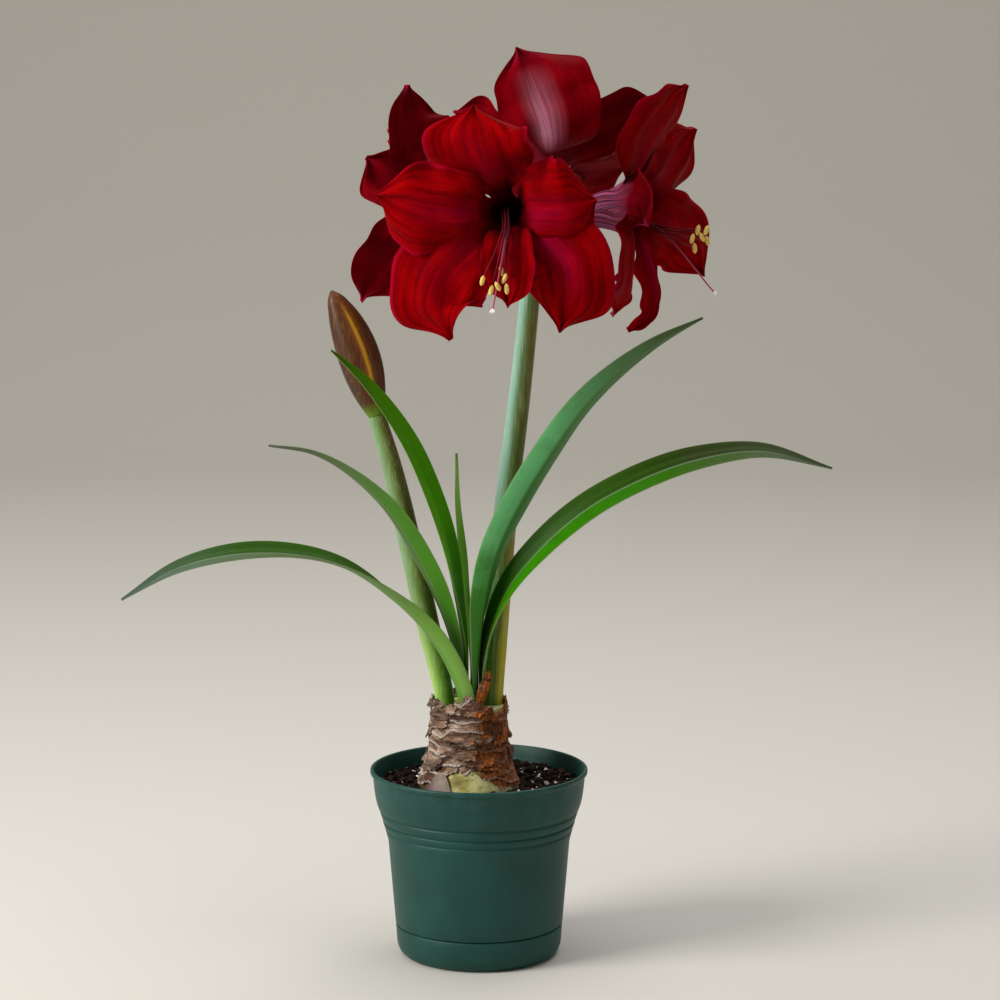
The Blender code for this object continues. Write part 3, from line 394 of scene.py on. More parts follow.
saucerOutside = [
    (59.8, 23.4), (60.6, 23.3), (61.3, 22.9), (61.6, 22.2), (61.3, 17), (60.9, 11), (60.6, 8.4), (60, 6.2),
    (59, 4), (57.6, 2.2), (56, 0.8), (54.6, 0.1), (53.6, 0)]
saucerInside = [(54.2, 2.4), (55.6, 2.8), (56.8, 3.8), (58.2, 6.6), (58.6, 11), (59.2, 22.6), (59.4, 23.2)]
makePiece("saucer_dish", turnedShell(saucerOutside, saucerInside, pot["sides"]),
          mouldedPlastic("moulded green saucer", *potTones), ["saucer"], 60)
print("pot and saucer made")


# Bulb, its dry skin, and the soil

bulb = {
    "centre": (-7.7, 0), "neckTop": 187,
    "heights": [46, 52, 66, 88, 110, 127, 140, 152, 164, 178, 187],
    "radii": [14, 26, 39, 43, 41, 36.5, 32, 28.4, 26.9, 26.5, 26.2]}


def bulbRadius(height):
    radius = throughKnots(bulb["heights"], bulb["radii"], np.atleast_1d(height).ravel())
    return radius.reshape(np.shape(height))


# Points at a distance from the bulb's upright axis
def roundBulb(radius, turn, height):
    x, y = bulb["centre"]
    return np.stack([x + radius * np.cos(turn), y + radius * np.sin(turn), height], -1)


# How near an angle is to a given one: a bell curve of the angle between them
def nearAngle(turn, degrees, width):
    return np.exp(-(np.angle(np.exp(1j * (turn - math.radians(degrees)))) / width) ** 2)


def skinHem(turn):
    front = nearAngle(turn, -98, 0.62)
    torn = 1.1 * np.sin(17 * turn + 0.7) + 0.7 * np.sin(31 * turn) + 0.5 * np.sin(53 * turn + 2.0)
    return (129.5 + 15.0 * front + 1.6 * np.sin(5 * turn + 0.6) * front + 0.8 * np.sin(9 * turn)
            + torn * (0.3 + front))


def skinTop(turn):
    peak = nearAngle(turn, -88, 0.34)
    dip = nearAngle(turn, -38, 0.42)
    torn = 1.0 * np.sin(19 * turn + 1.0) + 0.8 * np.sin(33 * turn + 0.3) + 0.5 * np.sin(61 * turn)
    waves = 1.3 * np.sin(7 * turn + 0.4) + 0.9 * np.sin(13 * turn + 2.0)
    return 191.0 + 6.5 * peak - 9.0 * dip + waves + torn


# Skin: base radius of the bulb plus thin layers. Each layer is a saw tooth of height and angle: it thickens
# downwards and ends in a torn step, so the surface looks like overlapping papery bands.
def skinSurface(rows, sides, lift):
    turn = around(sides)
    f = np.linspace(0, 1, rows)[:, None]
    height = skinHem(turn) + (skinTop(turn) - skinHem(turn)) * f
    base = bulbRadius(np.minimum(height, bulb["neckTop"]))
    wander = (2.6 * np.sin(2 * turn + 0.8) + 1.7 * np.sin(5 * turn + 0.12 * height)
              + 0.8 * np.sin(11 * turn + 2.0))
    step = 1 - np.mod((height + wander) / 7.4, 1.0)
    fineStep = 1 - np.mod((height + 1.6 * wander + 1.2 * np.sin(23 * turn)) / 2.7, 1.0)
    loose = 0.5 + 0.5 * np.sin(3 * turn + 0.21 * height + 1.0)
    radius = base + 0.6 + lift * (0.7 + 1.2 * step * loose + 0.35 * fineStep
                                  + 0.12 * softNoise(9 * turn, 0.3 * height))
    return roundBulb(radius, turn, height), step + 0.3 * fineStep


skinRows, skinSides = 118, 320
outer, outerStep = skinSurface(skinRows, skinSides, 1.0)
inner, innerStep = skinSurface(skinRows, skinSides, 0.0)
skinShape = (*closedRing(outer, inner), {"step": np.concatenate([outerStep, innerStep[::-1]]).ravel()})


# Dry tunic of an amaryllis bulb: paper-thin layers, matt, grey-brown where they peel on the left and a warm
# fibrous orange-brown on the right, darker in the cracks, partly the dark layer beneath and partly painted
# shade under each torn step, a painted highlight on the thick lower edge of each layer, greenish where the
# scale shows through
def driedSkin(name):
    paint = Paint(name, {"Roughness": 0.86, "IOR": 1.4, "Specular IOR Level": 0.3, "Sheen Weight": 0.12,
                         "Sheen Roughness": 0.5})
    fibres = paint.noise(0.0016, 4.0, 0.7, (1, 1, 6))
    blotch = paint.noise(0.009, 4.0, 0.65, (1.6, 1.6, 0.8))
    band = paint.noise(0.0035, 4.0, 0.7, (3, 3, 0.7))
    step = paint.mark("step")
    grey = paint.ramp(blotch, (0.3, "#3a2418"), (0.44, "#5c3c28"), (0.58, "#967a66"), (0.75, "#d0c3b4"))
    warm = paint.ramp(fibres, (0.28, "#2a1004"), (0.43, "#6a3008"), (0.58, "#a65a18"), (0.78, "#cc8a40"))
    side = paint.shifted(paint.times(paint.coordinate(0), 42.0), blotch, 0.42, 2.4)
    pale = paint.times(paint.ramp(band, (0.6, 0.0), (0.74, 0.8)), paint.ramp(side, (0.1, 1.0), (0.5, 0.15)))
    # Painted highlight on the thick lower edge of each layer, stronger on the lit left side
    paintedEdgeHighlight = paint.times(paint.ramp(step, (0.8, 0.0), (0.97, 0.45)), paint.ramp(side, (0.1, 1.0), (0.5, 0.3)))
    # The last layer darkens the strip just under each torn step: partly the dark layer beneath, partly painted
    # shade
    colour = paint.layers(
        grey, (side, (0.0, 0.0), (0.35, 1.0), warm), (band, (0.38, 0.75), (0.52, 0.0), "#2a160d"),
        (pale, "#d8cfc4"), (paintedEdgeHighlight, "#dcd2c6"), (step, (0.0, 0.95), (0.3, 0.0), "#1d0f08"))
    return paint.finish(colour, (paint.math("ADD", paint.times(fibres, 0.6), band), 0.55, 0.0009))


skinPaper = driedSkin("dry bulb tunic")
makePiece("bulb_tunic", skinShape, skinPaper, ["bulb_skin"], 35)

# Flakes: thin curved patches lying on the tunic with one edge lifted. Across is the angle and along the
# height; the outline is a rounded rectangle whose edges are moved by noise.
flakes = {"seed": 7, "count": 46, "inFront": 34, "atTop": 5, "rows": 13, "cols": 19, "thick": 0.28}
draw = np.random.default_rng(flakes["seed"])
flakeGather = Gather()
for k in range(flakes["count"]):
    middle = math.radians(draw.uniform(-185, 5)) if k < flakes["inFront"] else draw.uniform(0, circle)
    width = draw.uniform(0.12, 0.34)
    tall = draw.uniform(2.2, 5.0)
    level = draw.uniform(141, 192) if k > flakes["atTop"] else draw.uniform(184, 192)
    lift = draw.uniform(0.5, 2.3)
    u = np.linspace(-1, 1, flakes["cols"])[None, :]
    v = np.linspace(-1, 1, flakes["rows"])[:, None]
    torn = 0.22 * softNoise(5 * u, k * 1.7, k) * np.abs(v) + 0.1 * softNoise(13 * u, 3 * v, k + 0.5)
    sideTorn = 0.14 * softNoise(5 * v, k * 0.9, k + 3)
    edge = np.sqrt(np.maximum(1 - 0.45 * np.abs(u) ** 5, 0.05))
    angle = middle + width * (u * (1 + sideTorn * np.abs(u)) + 0.2 * v)
    height = level + tall * edge * (v + torn) + 1.5 * math.sin(3 * k) * u
    height = np.maximum(np.minimum(height, skinTop(angle) + 2.5), skinHem(angle) - 1.0)
    curl = lift * (0.5 - 0.5 * v) ** 2.2 + 0.3 * lift * np.abs(u) ** 3
    reach = (bulbRadius(np.minimum(height, bulb["neckTop"])) + 2.2 + 1.2 * curl
             + 0.15 * softNoise(7 * u, 5 * v, k))
    flakeGather.add(closedBlade(roundBulb(reach, angle, height), flakes["thick"], u, v),
                    step=0.5 + 0.4 * math.sin(2.1 * k))
makePiece("tunic_flakes", flakeGather.shape(), skinPaper)


# Fleshy bulb scale: cream to pale yellow with olive stains and fine lengthwise veins, faintly waxy, dark brown
# towards the soil line and towards the left edge
def fleshyScale(name):
    paint = Paint(name, {"Roughness": 0.5, "IOR": 1.42, "Subsurface Weight": 0.12, "Subsurface Scale": 0.004,
                         "Subsurface Radius": (1.0, 0.7, 0.3)})
    vein = paint.noise(0.0011, 3.0, 0.6, (1, 1, 9))
    cream = paint.ramp(paint.noise(0.012, 4.0, 0.6, (1.5, 1.5, 0.9)), (0.28, "#5a4a1e"), (0.42, "#9a9147"),
                       (0.55, "#cfc98c"), (0.75, "#e3dfb4"))
    # The two fades make it dark brown towards the soil line and towards the left edge
    colour = paint.layers(cream, (vein, (0.5, 0.0), (0.72, 0.5), "#7d6a3c"),
                          (paint.fade(paint.coordinate(2), 0.123, 0.131, 0.75, 0.0), "#2b1a10"),
                          (paint.fade(paint.coordinate(0), -0.036, -0.028, 0.9, 0.0), "#3a271c"),
                          (paint.times(paint.mark("blush"), 0.8), "#6a505a"))
    return paint.finish(colour, (vein, 0.3, 0.0004))


scaleFlesh = fleshyScale("fleshy bulb scale")
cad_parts["bulb"].material_slots[0].material = scaleFlesh

# Scales: three shells on the shoulder at the front that overlap like onion layers, each a patch of the bulb's
# own surface moved outwards a little, with a rounded upper edge
scaleShape = {"low": 121.0, "thick": 0.7, "rows": 25, "cols": 41}
scalePatches = [dict(middle=-80, width=0.46, high=144.0, lift=0.9, blush=0.0),
                dict(middle=-126, width=0.30, high=141.5, lift=1.4, blush=1.0),
                dict(middle=-48, width=0.30, high=139.0, lift=0.4, blush=0.1)]
scaleGather = Gather()
for k, patch in enumerate(scalePatches):
    u = np.linspace(-1, 1, scaleShape["cols"])[None, :]
    v = np.linspace(0, 1, scaleShape["rows"])[:, None]
    low = scaleShape["low"]
    angle = math.radians(patch["middle"]) + patch["width"] * u
    crown = low + (patch["high"] - low) * (1 - 0.75 * np.abs(u) ** 2.6)
    height = low + (crown - low) * v
    reach = (bulbRadius(height) + 0.5 + patch["lift"] * (1 - 0.5 * np.abs(u) ** 3)
             + 0.1 * softNoise(6 * u, 2 * v, k))
    scaleGather.add(closedBlade(roundBulb(reach, angle, height), scaleShape["thick"], u, v),
                    blush=patch["blush"])
makePiece("bulb_scales", scaleGather.shape(), scaleFlesh)

soil = {"level": 126.5, "relief": 1.6, "spread": 73.0, "rows": 84, "sides": 300, "crumbs": 2300,
        "perlite": 420, "seed": 11}


def soilHeight(x, y):
    return (soil["level"] + soil["relief"] * (0.6 * np.sin(0.16 * x + 1.1) * np.cos(0.14 * y)
                                              + 0.4 * np.sin(0.31 * x - 0.27 * y)) - 0.9)


# Crumb layer: a ring from the bulb to the pot wall, its top at the soil height plus noise at three sizes
def soilLayer():
    turn = around(soil["sides"])
    f = np.linspace(0, 1, soil["rows"])[:, None]
    holeTop = bulbRadius(soil["level"]) + 0.9
    wall = np.interp(soil["level"] - 1.0, [p[1] for p in potInside], [p[0] for p in potInside]) - 0.9
    centre = bulb["centre"][0] * (1 - f)
    reach = holeTop + (wall - holeTop) * f
    x, y = centre + reach * np.cos(turn), reach * np.sin(turn)
    rough = (0.55 * softNoise(0.35 * x, 0.35 * y, 1) + 0.32 * softNoise(1.1 * x, 1.1 * y, 4)
             + 0.2 * softNoise(2.7 * x, 2.7 * y, 2))
    z = soilHeight(x, y) + 0.9 + np.maximum(rough, -0.7) - 0.8 * smoothRise(f, 0.93, 1.0)
    return (*closedRing(np.stack([x, y, z], -1), np.stack([x, y, soilHeight(x, y) - 0.6], -1)), {})


# Lumps: a small ball of 42 points whose radius is changed at random, stretched, turned and set on the soil
def scatterLumps(count, small, large, seed, squat, sink):
    draw = np.random.default_rng(seed)
    ball = bmesh.new()
    bmesh.ops.create_icosphere(ball, subdivisions=2, radius=1.0)
    shape = np.array([v.co[:] for v in ball.verts])
    triangles = np.array([[v.index for v in f.verts] for f in ball.faces])
    ball.free()
    turn = draw.uniform(0, circle, count)
    f = np.sqrt(draw.uniform(0.0, 0.985, count))
    holeTop = bulbRadius(soil["level"]) + 2.0
    reach = holeTop + (soil["spread"] - holeTop) * f
    x = bulb["centre"][0] * (1 - f) + reach * np.cos(turn)
    y = reach * np.sin(turn)
    size = small + (large - small) * draw.uniform(0, 1, count) ** 2.6
    wild = shape[None] * (1 + 0.28 * draw.normal(size=(count, len(shape), 1)))
    stretch = [draw.uniform(0.7, 1.4, count), draw.uniform(0.6, 1.1, count), np.full(count, squat)]
    wild = wild * np.stack(stretch, 1)[:, None]
    spin = draw.uniform(0, circle, count)
    cos, sin = np.cos(spin)[:, None], np.sin(spin)[:, None]
    x0, y0, z0 = np.moveaxis(wild, -1, 0)
    wild = np.stack([x0 * cos - y0 * sin, x0 * sin + y0 * cos, z0], -1)
    base = np.stack([x, y, soilHeight(x, y) + 1.0 + size * sink], 1)
    points = (base[:, None] + wild * size[:, None, None]).reshape(-1, 3)
    faces = (triangles[None] + np.arange(count)[:, None, None] * len(shape)).reshape(-1, 3).tolist()
    return points, faces, {"tone": np.repeat(draw.uniform(0, 1, count), len(shape))}


# Peat-based potting mix: nearly black brown, matt, crumbs and fibres in several browns
def peatMix(name):
    paint = Paint(name, {"Roughness": 0.93, "IOR": 1.35, "Specular IOR Level": 0.25})
    grain = paint.noise(0.0022, 5.0, 0.75)
    brown = paint.ramp(grain, (0.3, "#0e0907"), (0.5, "#241710"), (0.66, "#3d281b"), (0.8, "#5c402b"))
    colour = paint.layers(brown, (paint.noise(0.014), (0.4, 0.0), (0.75, 0.45), "#120c09"))
    return paint.finish(colour, (grain, 0.7, 0.0012))


def crumbMix(name):
    paint = Paint(name, {"Roughness": 0.92, "IOR": 1.35, "Specular IOR Level": 0.25})
    grain = paint.noise(0.0012, 4.0, 0.7)
    brown = paint.ramp(paint.mark("tone"), (0.0, "#0b0705"), (0.6, "#1d120c"), (0.88, "#35221a"),
                       (1.0, "#54403a"))
    return paint.finish(paint.layers(brown, (grain, (0.4, 0.0), (0.7, 0.5), "#140c08")), (grain, 0.6, 0.0006))


# Perlite: white foamed glass, chalky, with pits painted darker as painted shade
def perliteMix(name):
    paint = Paint(name, {"Roughness": 0.8, "IOR": 1.4, "Subsurface Weight": 0.08, "Subsurface Scale": 0.001})
    pits = paint.noise(0.0006, 3.0, 0.7)
    white = paint.ramp(paint.mark("tone"), (0.0, "#a79c8e"), (0.5, "#d4ccc0"), (1.0, "#f1ede6"))
    # The pits are painted darker grey: painted shade in the recesses
    return paint.finish(paint.layers(white, (pits, (0.3, 0.5), (0.45, 0.0), "#6e6256")), (pits, 0.5, 0.0005))


peat = peatMix("peat potting mix")
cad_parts["soil"].material_slots[0].material = peat
makePiece("soil_surface", soilLayer(), peat)
makePiece("soil_crumbs", scatterLumps(soil["crumbs"], 0.5, 2.9, soil["seed"], 0.75, 0.35),
          crumbMix("peat and bark crumbs"))
makePiece("soil_perlite", scatterLumps(soil["perlite"], 0.35, 1.5, soil["seed"] + 1, 0.8, 0.9),
          perliteMix("white perlite"))
print("bulb and soil made")


# Stalks and bud

stalks = {
    "scape": [(9.2, 4, 170.3), (9.4, 4, 191), (12, 4, 232), (14.2, 4, 264), (20.5, 3.2, 338),
              (29.5, 2, 412), (35.5, 1, 470), (40.2, 0.2, 524)],
    "scapeRadii": [8.3, 8.8, 8.9, 8.4, 7.9, 7.4, 7.2],
    "budStalk": [(-24.4, 2, 171), (-25, 2.4, 190), (-31.2, 5, 219), (-38, 8, 248), (-51, 12.5, 307),
                 (-65, 17, 366), (-74.5, 19, 398)],
    "budStalkRadii": [6.8, 7.4, 8.4, 8.4, 8.2, 7.4, 6.4],
    "umbel": (41, 0, 540), "joint": (40.2, 0.2, 519)}


# Amaryllis scape: succulent and hollow, painted from light to shade round it: a pale blue-white painted sheen
# of the wax bloom on the lit left side, painted shade in olive on the other, and yellower low down, with fine
# lengthwise lines and a few dark specks near the bulb
def waxyStem(name, upper, lower, line, meet):
    paint = Paint(name, {"Roughness": 0.45, "IOR": 1.42, "Specular IOR Level": 0.3, "Subsurface Weight": 0.06,
                         "Subsurface Scale": 0.003, "Coat Weight": 0.05, "Coat Roughness": 0.35})
    lines = paint.noise(0.0011, 3.0, 0.6, (1, 1, 26))
    turn = paint.shifted(paint.mark("facing"), paint.noise(0.016, 4.0, 0.6, (1, 1, 2.5)), 0.5, 0.25)
    low = paint.fade(paint.coordinate(2), meet - 0.06, meet + 0.06, 1.0, 0.0)
    specks = paint.times(paint.ramp(paint.noise(0.0016, 2.0, 0.5), (0.7, 0.0), (0.76, 0.7)), low)
    # The ramps round the stem paint the light: pale on the lit left side, painted shade towards the right
    colour = paint.layers(paint.ramp(turn, *upper), (low, paint.ramp(turn, *lower)),
                          (lines, (0.52, 0.0), (0.7, 0.25), line), (specks, "#3a2c0c"))
    return paint.finish(colour, (lines, 0.22, 0.0004))


# How far round a tube a point lies, from the lit left edge (0) to the right edge (1)
def lightToShadeMark(rows, sides):
    return np.tile(0.5 - 0.5 * np.sin(around(sides)), rows)


scapeWax = waxyStem(
    "waxed flower scape",
    [(0.0, "#92b4a4"), (0.15, "#7aa491"), (0.4, "#547048"), (0.68, "#5c5f22"), (0.9, "#6e6a34"),
     (1.0, "#8c875f")],
    [(0.0, "#7fa83c"), (0.3, "#4f7d14"), (0.6, "#4f6208"), (0.82, "#a09a08"), (1.0, "#a8a010")],
    "#c3cf9a", 0.29)
budWax = waxyStem(
    "waxed bud scape",
    [(0.0, "#7c9a78"), (0.16, "#6f9264"), (0.45, "#6c8344"), (0.7, "#5a5f20"), (1.0, "#5c4420")],
    [(0.0, "#b5d474"), (0.25, "#8cba48"), (0.55, "#5c8f24"), (1.0, "#3f7a10")], "#d5dcae", 0.24)

scapeSides, scapeRows, stemSides, stemRows = 48, 110, 30, 40
stemGather = Gather()
turn = around(scapeSides)[None, :, None]
scape = swell(tubeGrid(stalks["scape"], stalks["scapeRadii"], scapeSides, scapeRows),
              1 + 0.012 * np.sin(9 * turn) + 0.008 * np.sin(17 * turn + 1))
stemGather.add(closedTube(scape, facing=lightToShadeMark(scapeRows, scapeSides)))

# Blooms. Each has the centre of its throat, the way it faces, where its tube starts and how wide it is, and
# six petals. A petal gives, in the order of petalKeys, its angle round the axis in degrees, whether it is
# in the outer ring, points on its midrib as offsets from the throat (right, back, up), its half widths
# (clockwise side, other side) seen from the front, how far its sides curl forward, its twist, its ruffle
# and the phase.
petalKeys = ("angle", "outer", "mid", "half", "curl", "twist", "ruffle", "phase")
blooms = {
    "front": dict(throat=(19, -75, 554), facing=(-0.16, -0.98, -0.12), start=0.46, width=13, petals=[
        (102, True, [(-10, -17, 25), (-22, -24, 50), (-22, -15, 72)], (37, 39), -0.3, 0, 4, 0.5),
        (5, False, [(17, -17, 0), (38, -26, 0), (63, -21, 8)], (45, 38), -0.25, 4, 3, 1.6),
        (-52, True, [(17, -15, -13), (42, -21, -34), (46, -19, -55), (38, -14, -84)], (34, 31), -0.2, -8, 3,
         2.9),
        (-88, False, [(1, -17, -19), (1, -26, -41), (2, -22, -66)], (18, 20), 0.4, 0, 2, 0),
        (-132, True, [(-19, -14, -20), (-43, -20, -44), (-50, -18, -66), (-37, -14, -89)], (36, 34), -0.2, 8,
         3.5, 4.2),
        (178, False, [(-21, -18, -1), (-48, -27, 0), (-70, -25, 5), (-90, -18, 12)], (32, 33), -0.25, -4, 3,
         2.2)]),
    "right": dict(throat=(101, -5, 551.5), facing=(0.82, -0.53, -0.2), start=0.36, width=17, petals=[
        (95, True, [(9, -8, 24), (21, -15, 46), (37, -14, 68), (47, -6, 87)], (32, 34), -0.3, 0, 3, 0.8),
        (40, False, [(23, 10, 14), (43, 36, 32), (57, 49, 54)], (38, 38), -0.2, 0, 3, 2),
        (-25, True, [(23, 8, -9), (49, 32, -26), (63, 43, -53)], (27, 29), -0.2, 0, 3, 3.3),
        (-80, False, [(14, -4, -22), (24, -6, -52), (23, -6, -78), (6, -6, -88)], (12, 13), -0.6, 20, 1.5, 0),
        (-140, True, [(7, -20, -18), (8, -34, -42), (4, -36, -64), (-6, -32, -75)], (31, 20), -0.5, -30, 2, 1),
        (165, False, [(6, -22, 5), (17, -40, 4), (18, -54, -10)], (24, 24), -0.4, 10, 3, 2)]),
    "back": dict(throat=(50, 42, 574), facing=(0.12, 0.8, 0.58), start=0.5, width=13, petals=[
        (90, True, [(0, -20, 17), (-3, -32, 37), (-9, -31, 55), (-23, -20, 90)], (29, 44), 0.35, 0, 2.5, 0.5),
        (20, False, [(-16, 3, 14), (-42, 8, 32), (-68, 16, 44)], (24, 24), -0.2, 0, 3, 1.5),
        (150, False, [(20, 3, 18), (46, 8, 36), (80, 16, 52)], (24, 20), -0.2, 0, 3, 2.5),
        (-150, True, [(17, 18, -3), (40, 38, 0), (62, 53, 3)], (30, 30), -0.2, 0, 3, 3.5),
        (-30, True, [(-12, 18, -3), (-31, 43, -1), (-49, 58, -1)], (30, 30), -0.2, 0, 3, 4.5),
        (-90, False, [(4, 28, -2), (7, 60, -8), (11, 86, -22)], (26, 26), -0.2, 0, 2.5, 5.5)]),
    "left": dict(throat=(-31, 18, 557), facing=(-0.78, 0.62, -0.08), start=0.45, width=13, petals=[
        (95, True, [(-11, -8, 24), (-20, -16, 53), (-20, -14, 81)], (31, 35), -0.3, 0, 3, 0.8),
        (30, False, [(-12, -24, 7), (-30, -36, 15), (-49, -36, 30)], (28, 27), -0.2, 0, 3, 2),
        (-35, True, [(-12, -22, -13), (-32, -31, -40), (-53, -26, -73)], (25, 26), -0.2, 0, 3, 3.3),
        (-90, False, [(-8, 7, -20), (-26, 17, -50), (-38, 27, -66)], (24, 24), -0.2, 0, 2.5, 4),
        (-150, True, [(-16, 27, -7), (-31, 57, -16), (-39, 77, -25)], (30, 30), -0.2, 0, 3, 5),
        (150, False, [(-12, 22, 11), (-27, 47, 25), (-35, 67, 39)], (28, 28), -0.2, 0, 3, 6)])}


def bloomFrame(bloom):
    throat = np.array(bloom["throat"])
    facing = unit(bloom["facing"])
    right = unit(np.cross([0.0, 0.0, 1.0], facing))
    up = np.cross(facing, right)
    umbel = np.array(stalks["umbel"])
    foot = umbel + (throat - umbel) * bloom["start"]
    return throat, facing, right, up, foot


# A direction square to a bloom's tube
def besideTube(tubeWay):
    return unit(np.cross(tubeWay, [0.3, 0.2, 1.0]))


for bloom in blooms.values():
    throat, facing, right, up, foot = bloomFrame(bloom)
    tubeWay = unit(throat - foot)
    top = foot - tubeWay * 1.3
    pod = top - tubeWay * 16.0
    root = np.array(stalks["joint"])
    path = [root, root + np.array([0.0, 0.0, 8.4]) + (pod - root) * 0.35, pod, top - tubeWay * 7.0, top]
    stem = tubeGrid(path, [4.6, 4.4, 4.6, 6.8, 6.6], stemSides, stemRows, look=besideTube(tubeWay))
    swelling = smoothRise(np.linspace(0, 1, stemRows), 0.45, 0.75)[:, None, None]
    lobes = 1 + 0.06 * np.cos(3 * around(stemSides))[None, :, None] * swelling
    stemGather.add(closedTube(swell(stem, lobes)), facing=0.45)
makePiece("flower_scape", stemGather.shape(), scapeWax, ["flower_stalk"])

budStalkRows, budStalkSides = 90, 40
budScape = closedTube(tubeGrid(stalks["budStalk"], stalks["budStalkRadii"], budStalkSides, budStalkRows),
                      facing=lightToShadeMark(budStalkRows, budStalkSides))
makePiece("bud_scape", budScape, budWax, ["bud_stalk"])

bud = {
    "path": [(-74.6, 19, 398.3), (-79, 20, 413), (-89, 22, 446), (-98.5, 23.3, 470), (-107.3, 24, 489)],
    "stops": [0, 0.1, 0.3, 0.5, 0.7, 0.86, 0.95, 1], "half": [6.2, 9.6, 14.2, 15.2, 13, 8.8, 5, 0.9],
    "rows": 90, "sides": 72, "flat": 0.78}


# Bud: a flattened spindle. Radius = half width along the path, pressed in along the seam between the two
# bracts, with one bract's margin lapping over the other as a small step, and shallow ribs from the flowers.
def budSurface():
    where = np.linspace(0, 1, bud["rows"])
    place, heading = alongPath(bud["path"], where)
    side = unit(np.array([0.0, 1.0, 0.0]) - heading[:, 1:2] * heading)
    across = np.cross(heading, side)
    wide = throughKnots(bud["stops"], bud["half"], where)[:, None, None]
    turn = around(bud["sides"])[:, None]
    body = smoothRise(where, 0.02, 0.2)[:, None, None] * (1 - smoothRise(where, 0.8, 1.0))[:, None, None]
    seam = 1 - 0.05 * np.exp(-(np.sin(turn) / 0.3) ** 2)
    lap = 0.04 * body * np.exp(-(np.angle(np.exp(1j * (turn + 2.2 + math.pi / 2))) / 0.24) ** 2)
    ribs = 0.014 * body * np.sin(7 * turn + 0.5) + 0.006 * body * np.sin(23 * turn)
    return place[:, None] + wide * (seam + lap + ribs) * (side[:, None] * np.cos(turn) * bud["flat"]
                                                           + across[:, None] * np.sin(turn))


# Spathe: leathery bract, bronze to maroon round the bud with a painted greyish sheen on the lit left rim, a
# golden stripe down the far side and green where it meets the scape, with fine lengthwise veins and a soft
# gloss
def spatheSkin(name):
    paint = Paint(name, {"Roughness": 0.45, "IOR": 1.4, "Specular IOR Level": 0.3, "Coat Weight": 0.05,
                         "Coat Roughness": 0.3})
    facing, along = paint.mark("facing"), paint.mark("along")
    line = paint.noise(0.0012, 3.0, 0.6, (1, 1, 22))
    # Round the bud from the lit left rim, whose greyish colour is a painted sheen, to the right
    bronze = paint.ramp(facing, (0.0, "#5c5048"), (0.07, "#36241a"), (0.25, "#46361a"), (0.5, "#56300c"),
                        (0.8, "#683a06"), (1.0, "#5c2a08"))
    stripe = paint.times(paint.ramp(facing, (0.6, 0.0), (0.68, 1.0), (0.75, 0.0)),
                         paint.ramp(along, (0.12, 0.0), (0.3, 1.0), (0.75, 0.9), (0.92, 0.0)))
    colour = paint.layers(
        bronze, (paint.noise(0.012, 4.0, 0.6, (1, 1, 3)), (0.35, 0.65), (0.65, 0.0), "#4a1d16"),
        (paint.times(stripe, 0.8), "#c08a1c"), (along, (0.0, 0.95), (0.11, 0.0), "#5c8a1c"),
        (along, (0.8, 0.0), (1.0, 0.7), "#5a2c14"), (line, (0.5, 0.0), (0.72, 0.3), "#a06a2c"))
    return paint.finish(colour, (line, 0.3, 0.0005))


makePiece("bud_spathe", closedTube(budSurface(), facing=lightToShadeMark(bud["rows"], bud["sides"])),
          spatheSkin("bronze spathe"), ["bud"])
print("stalks and bud made")
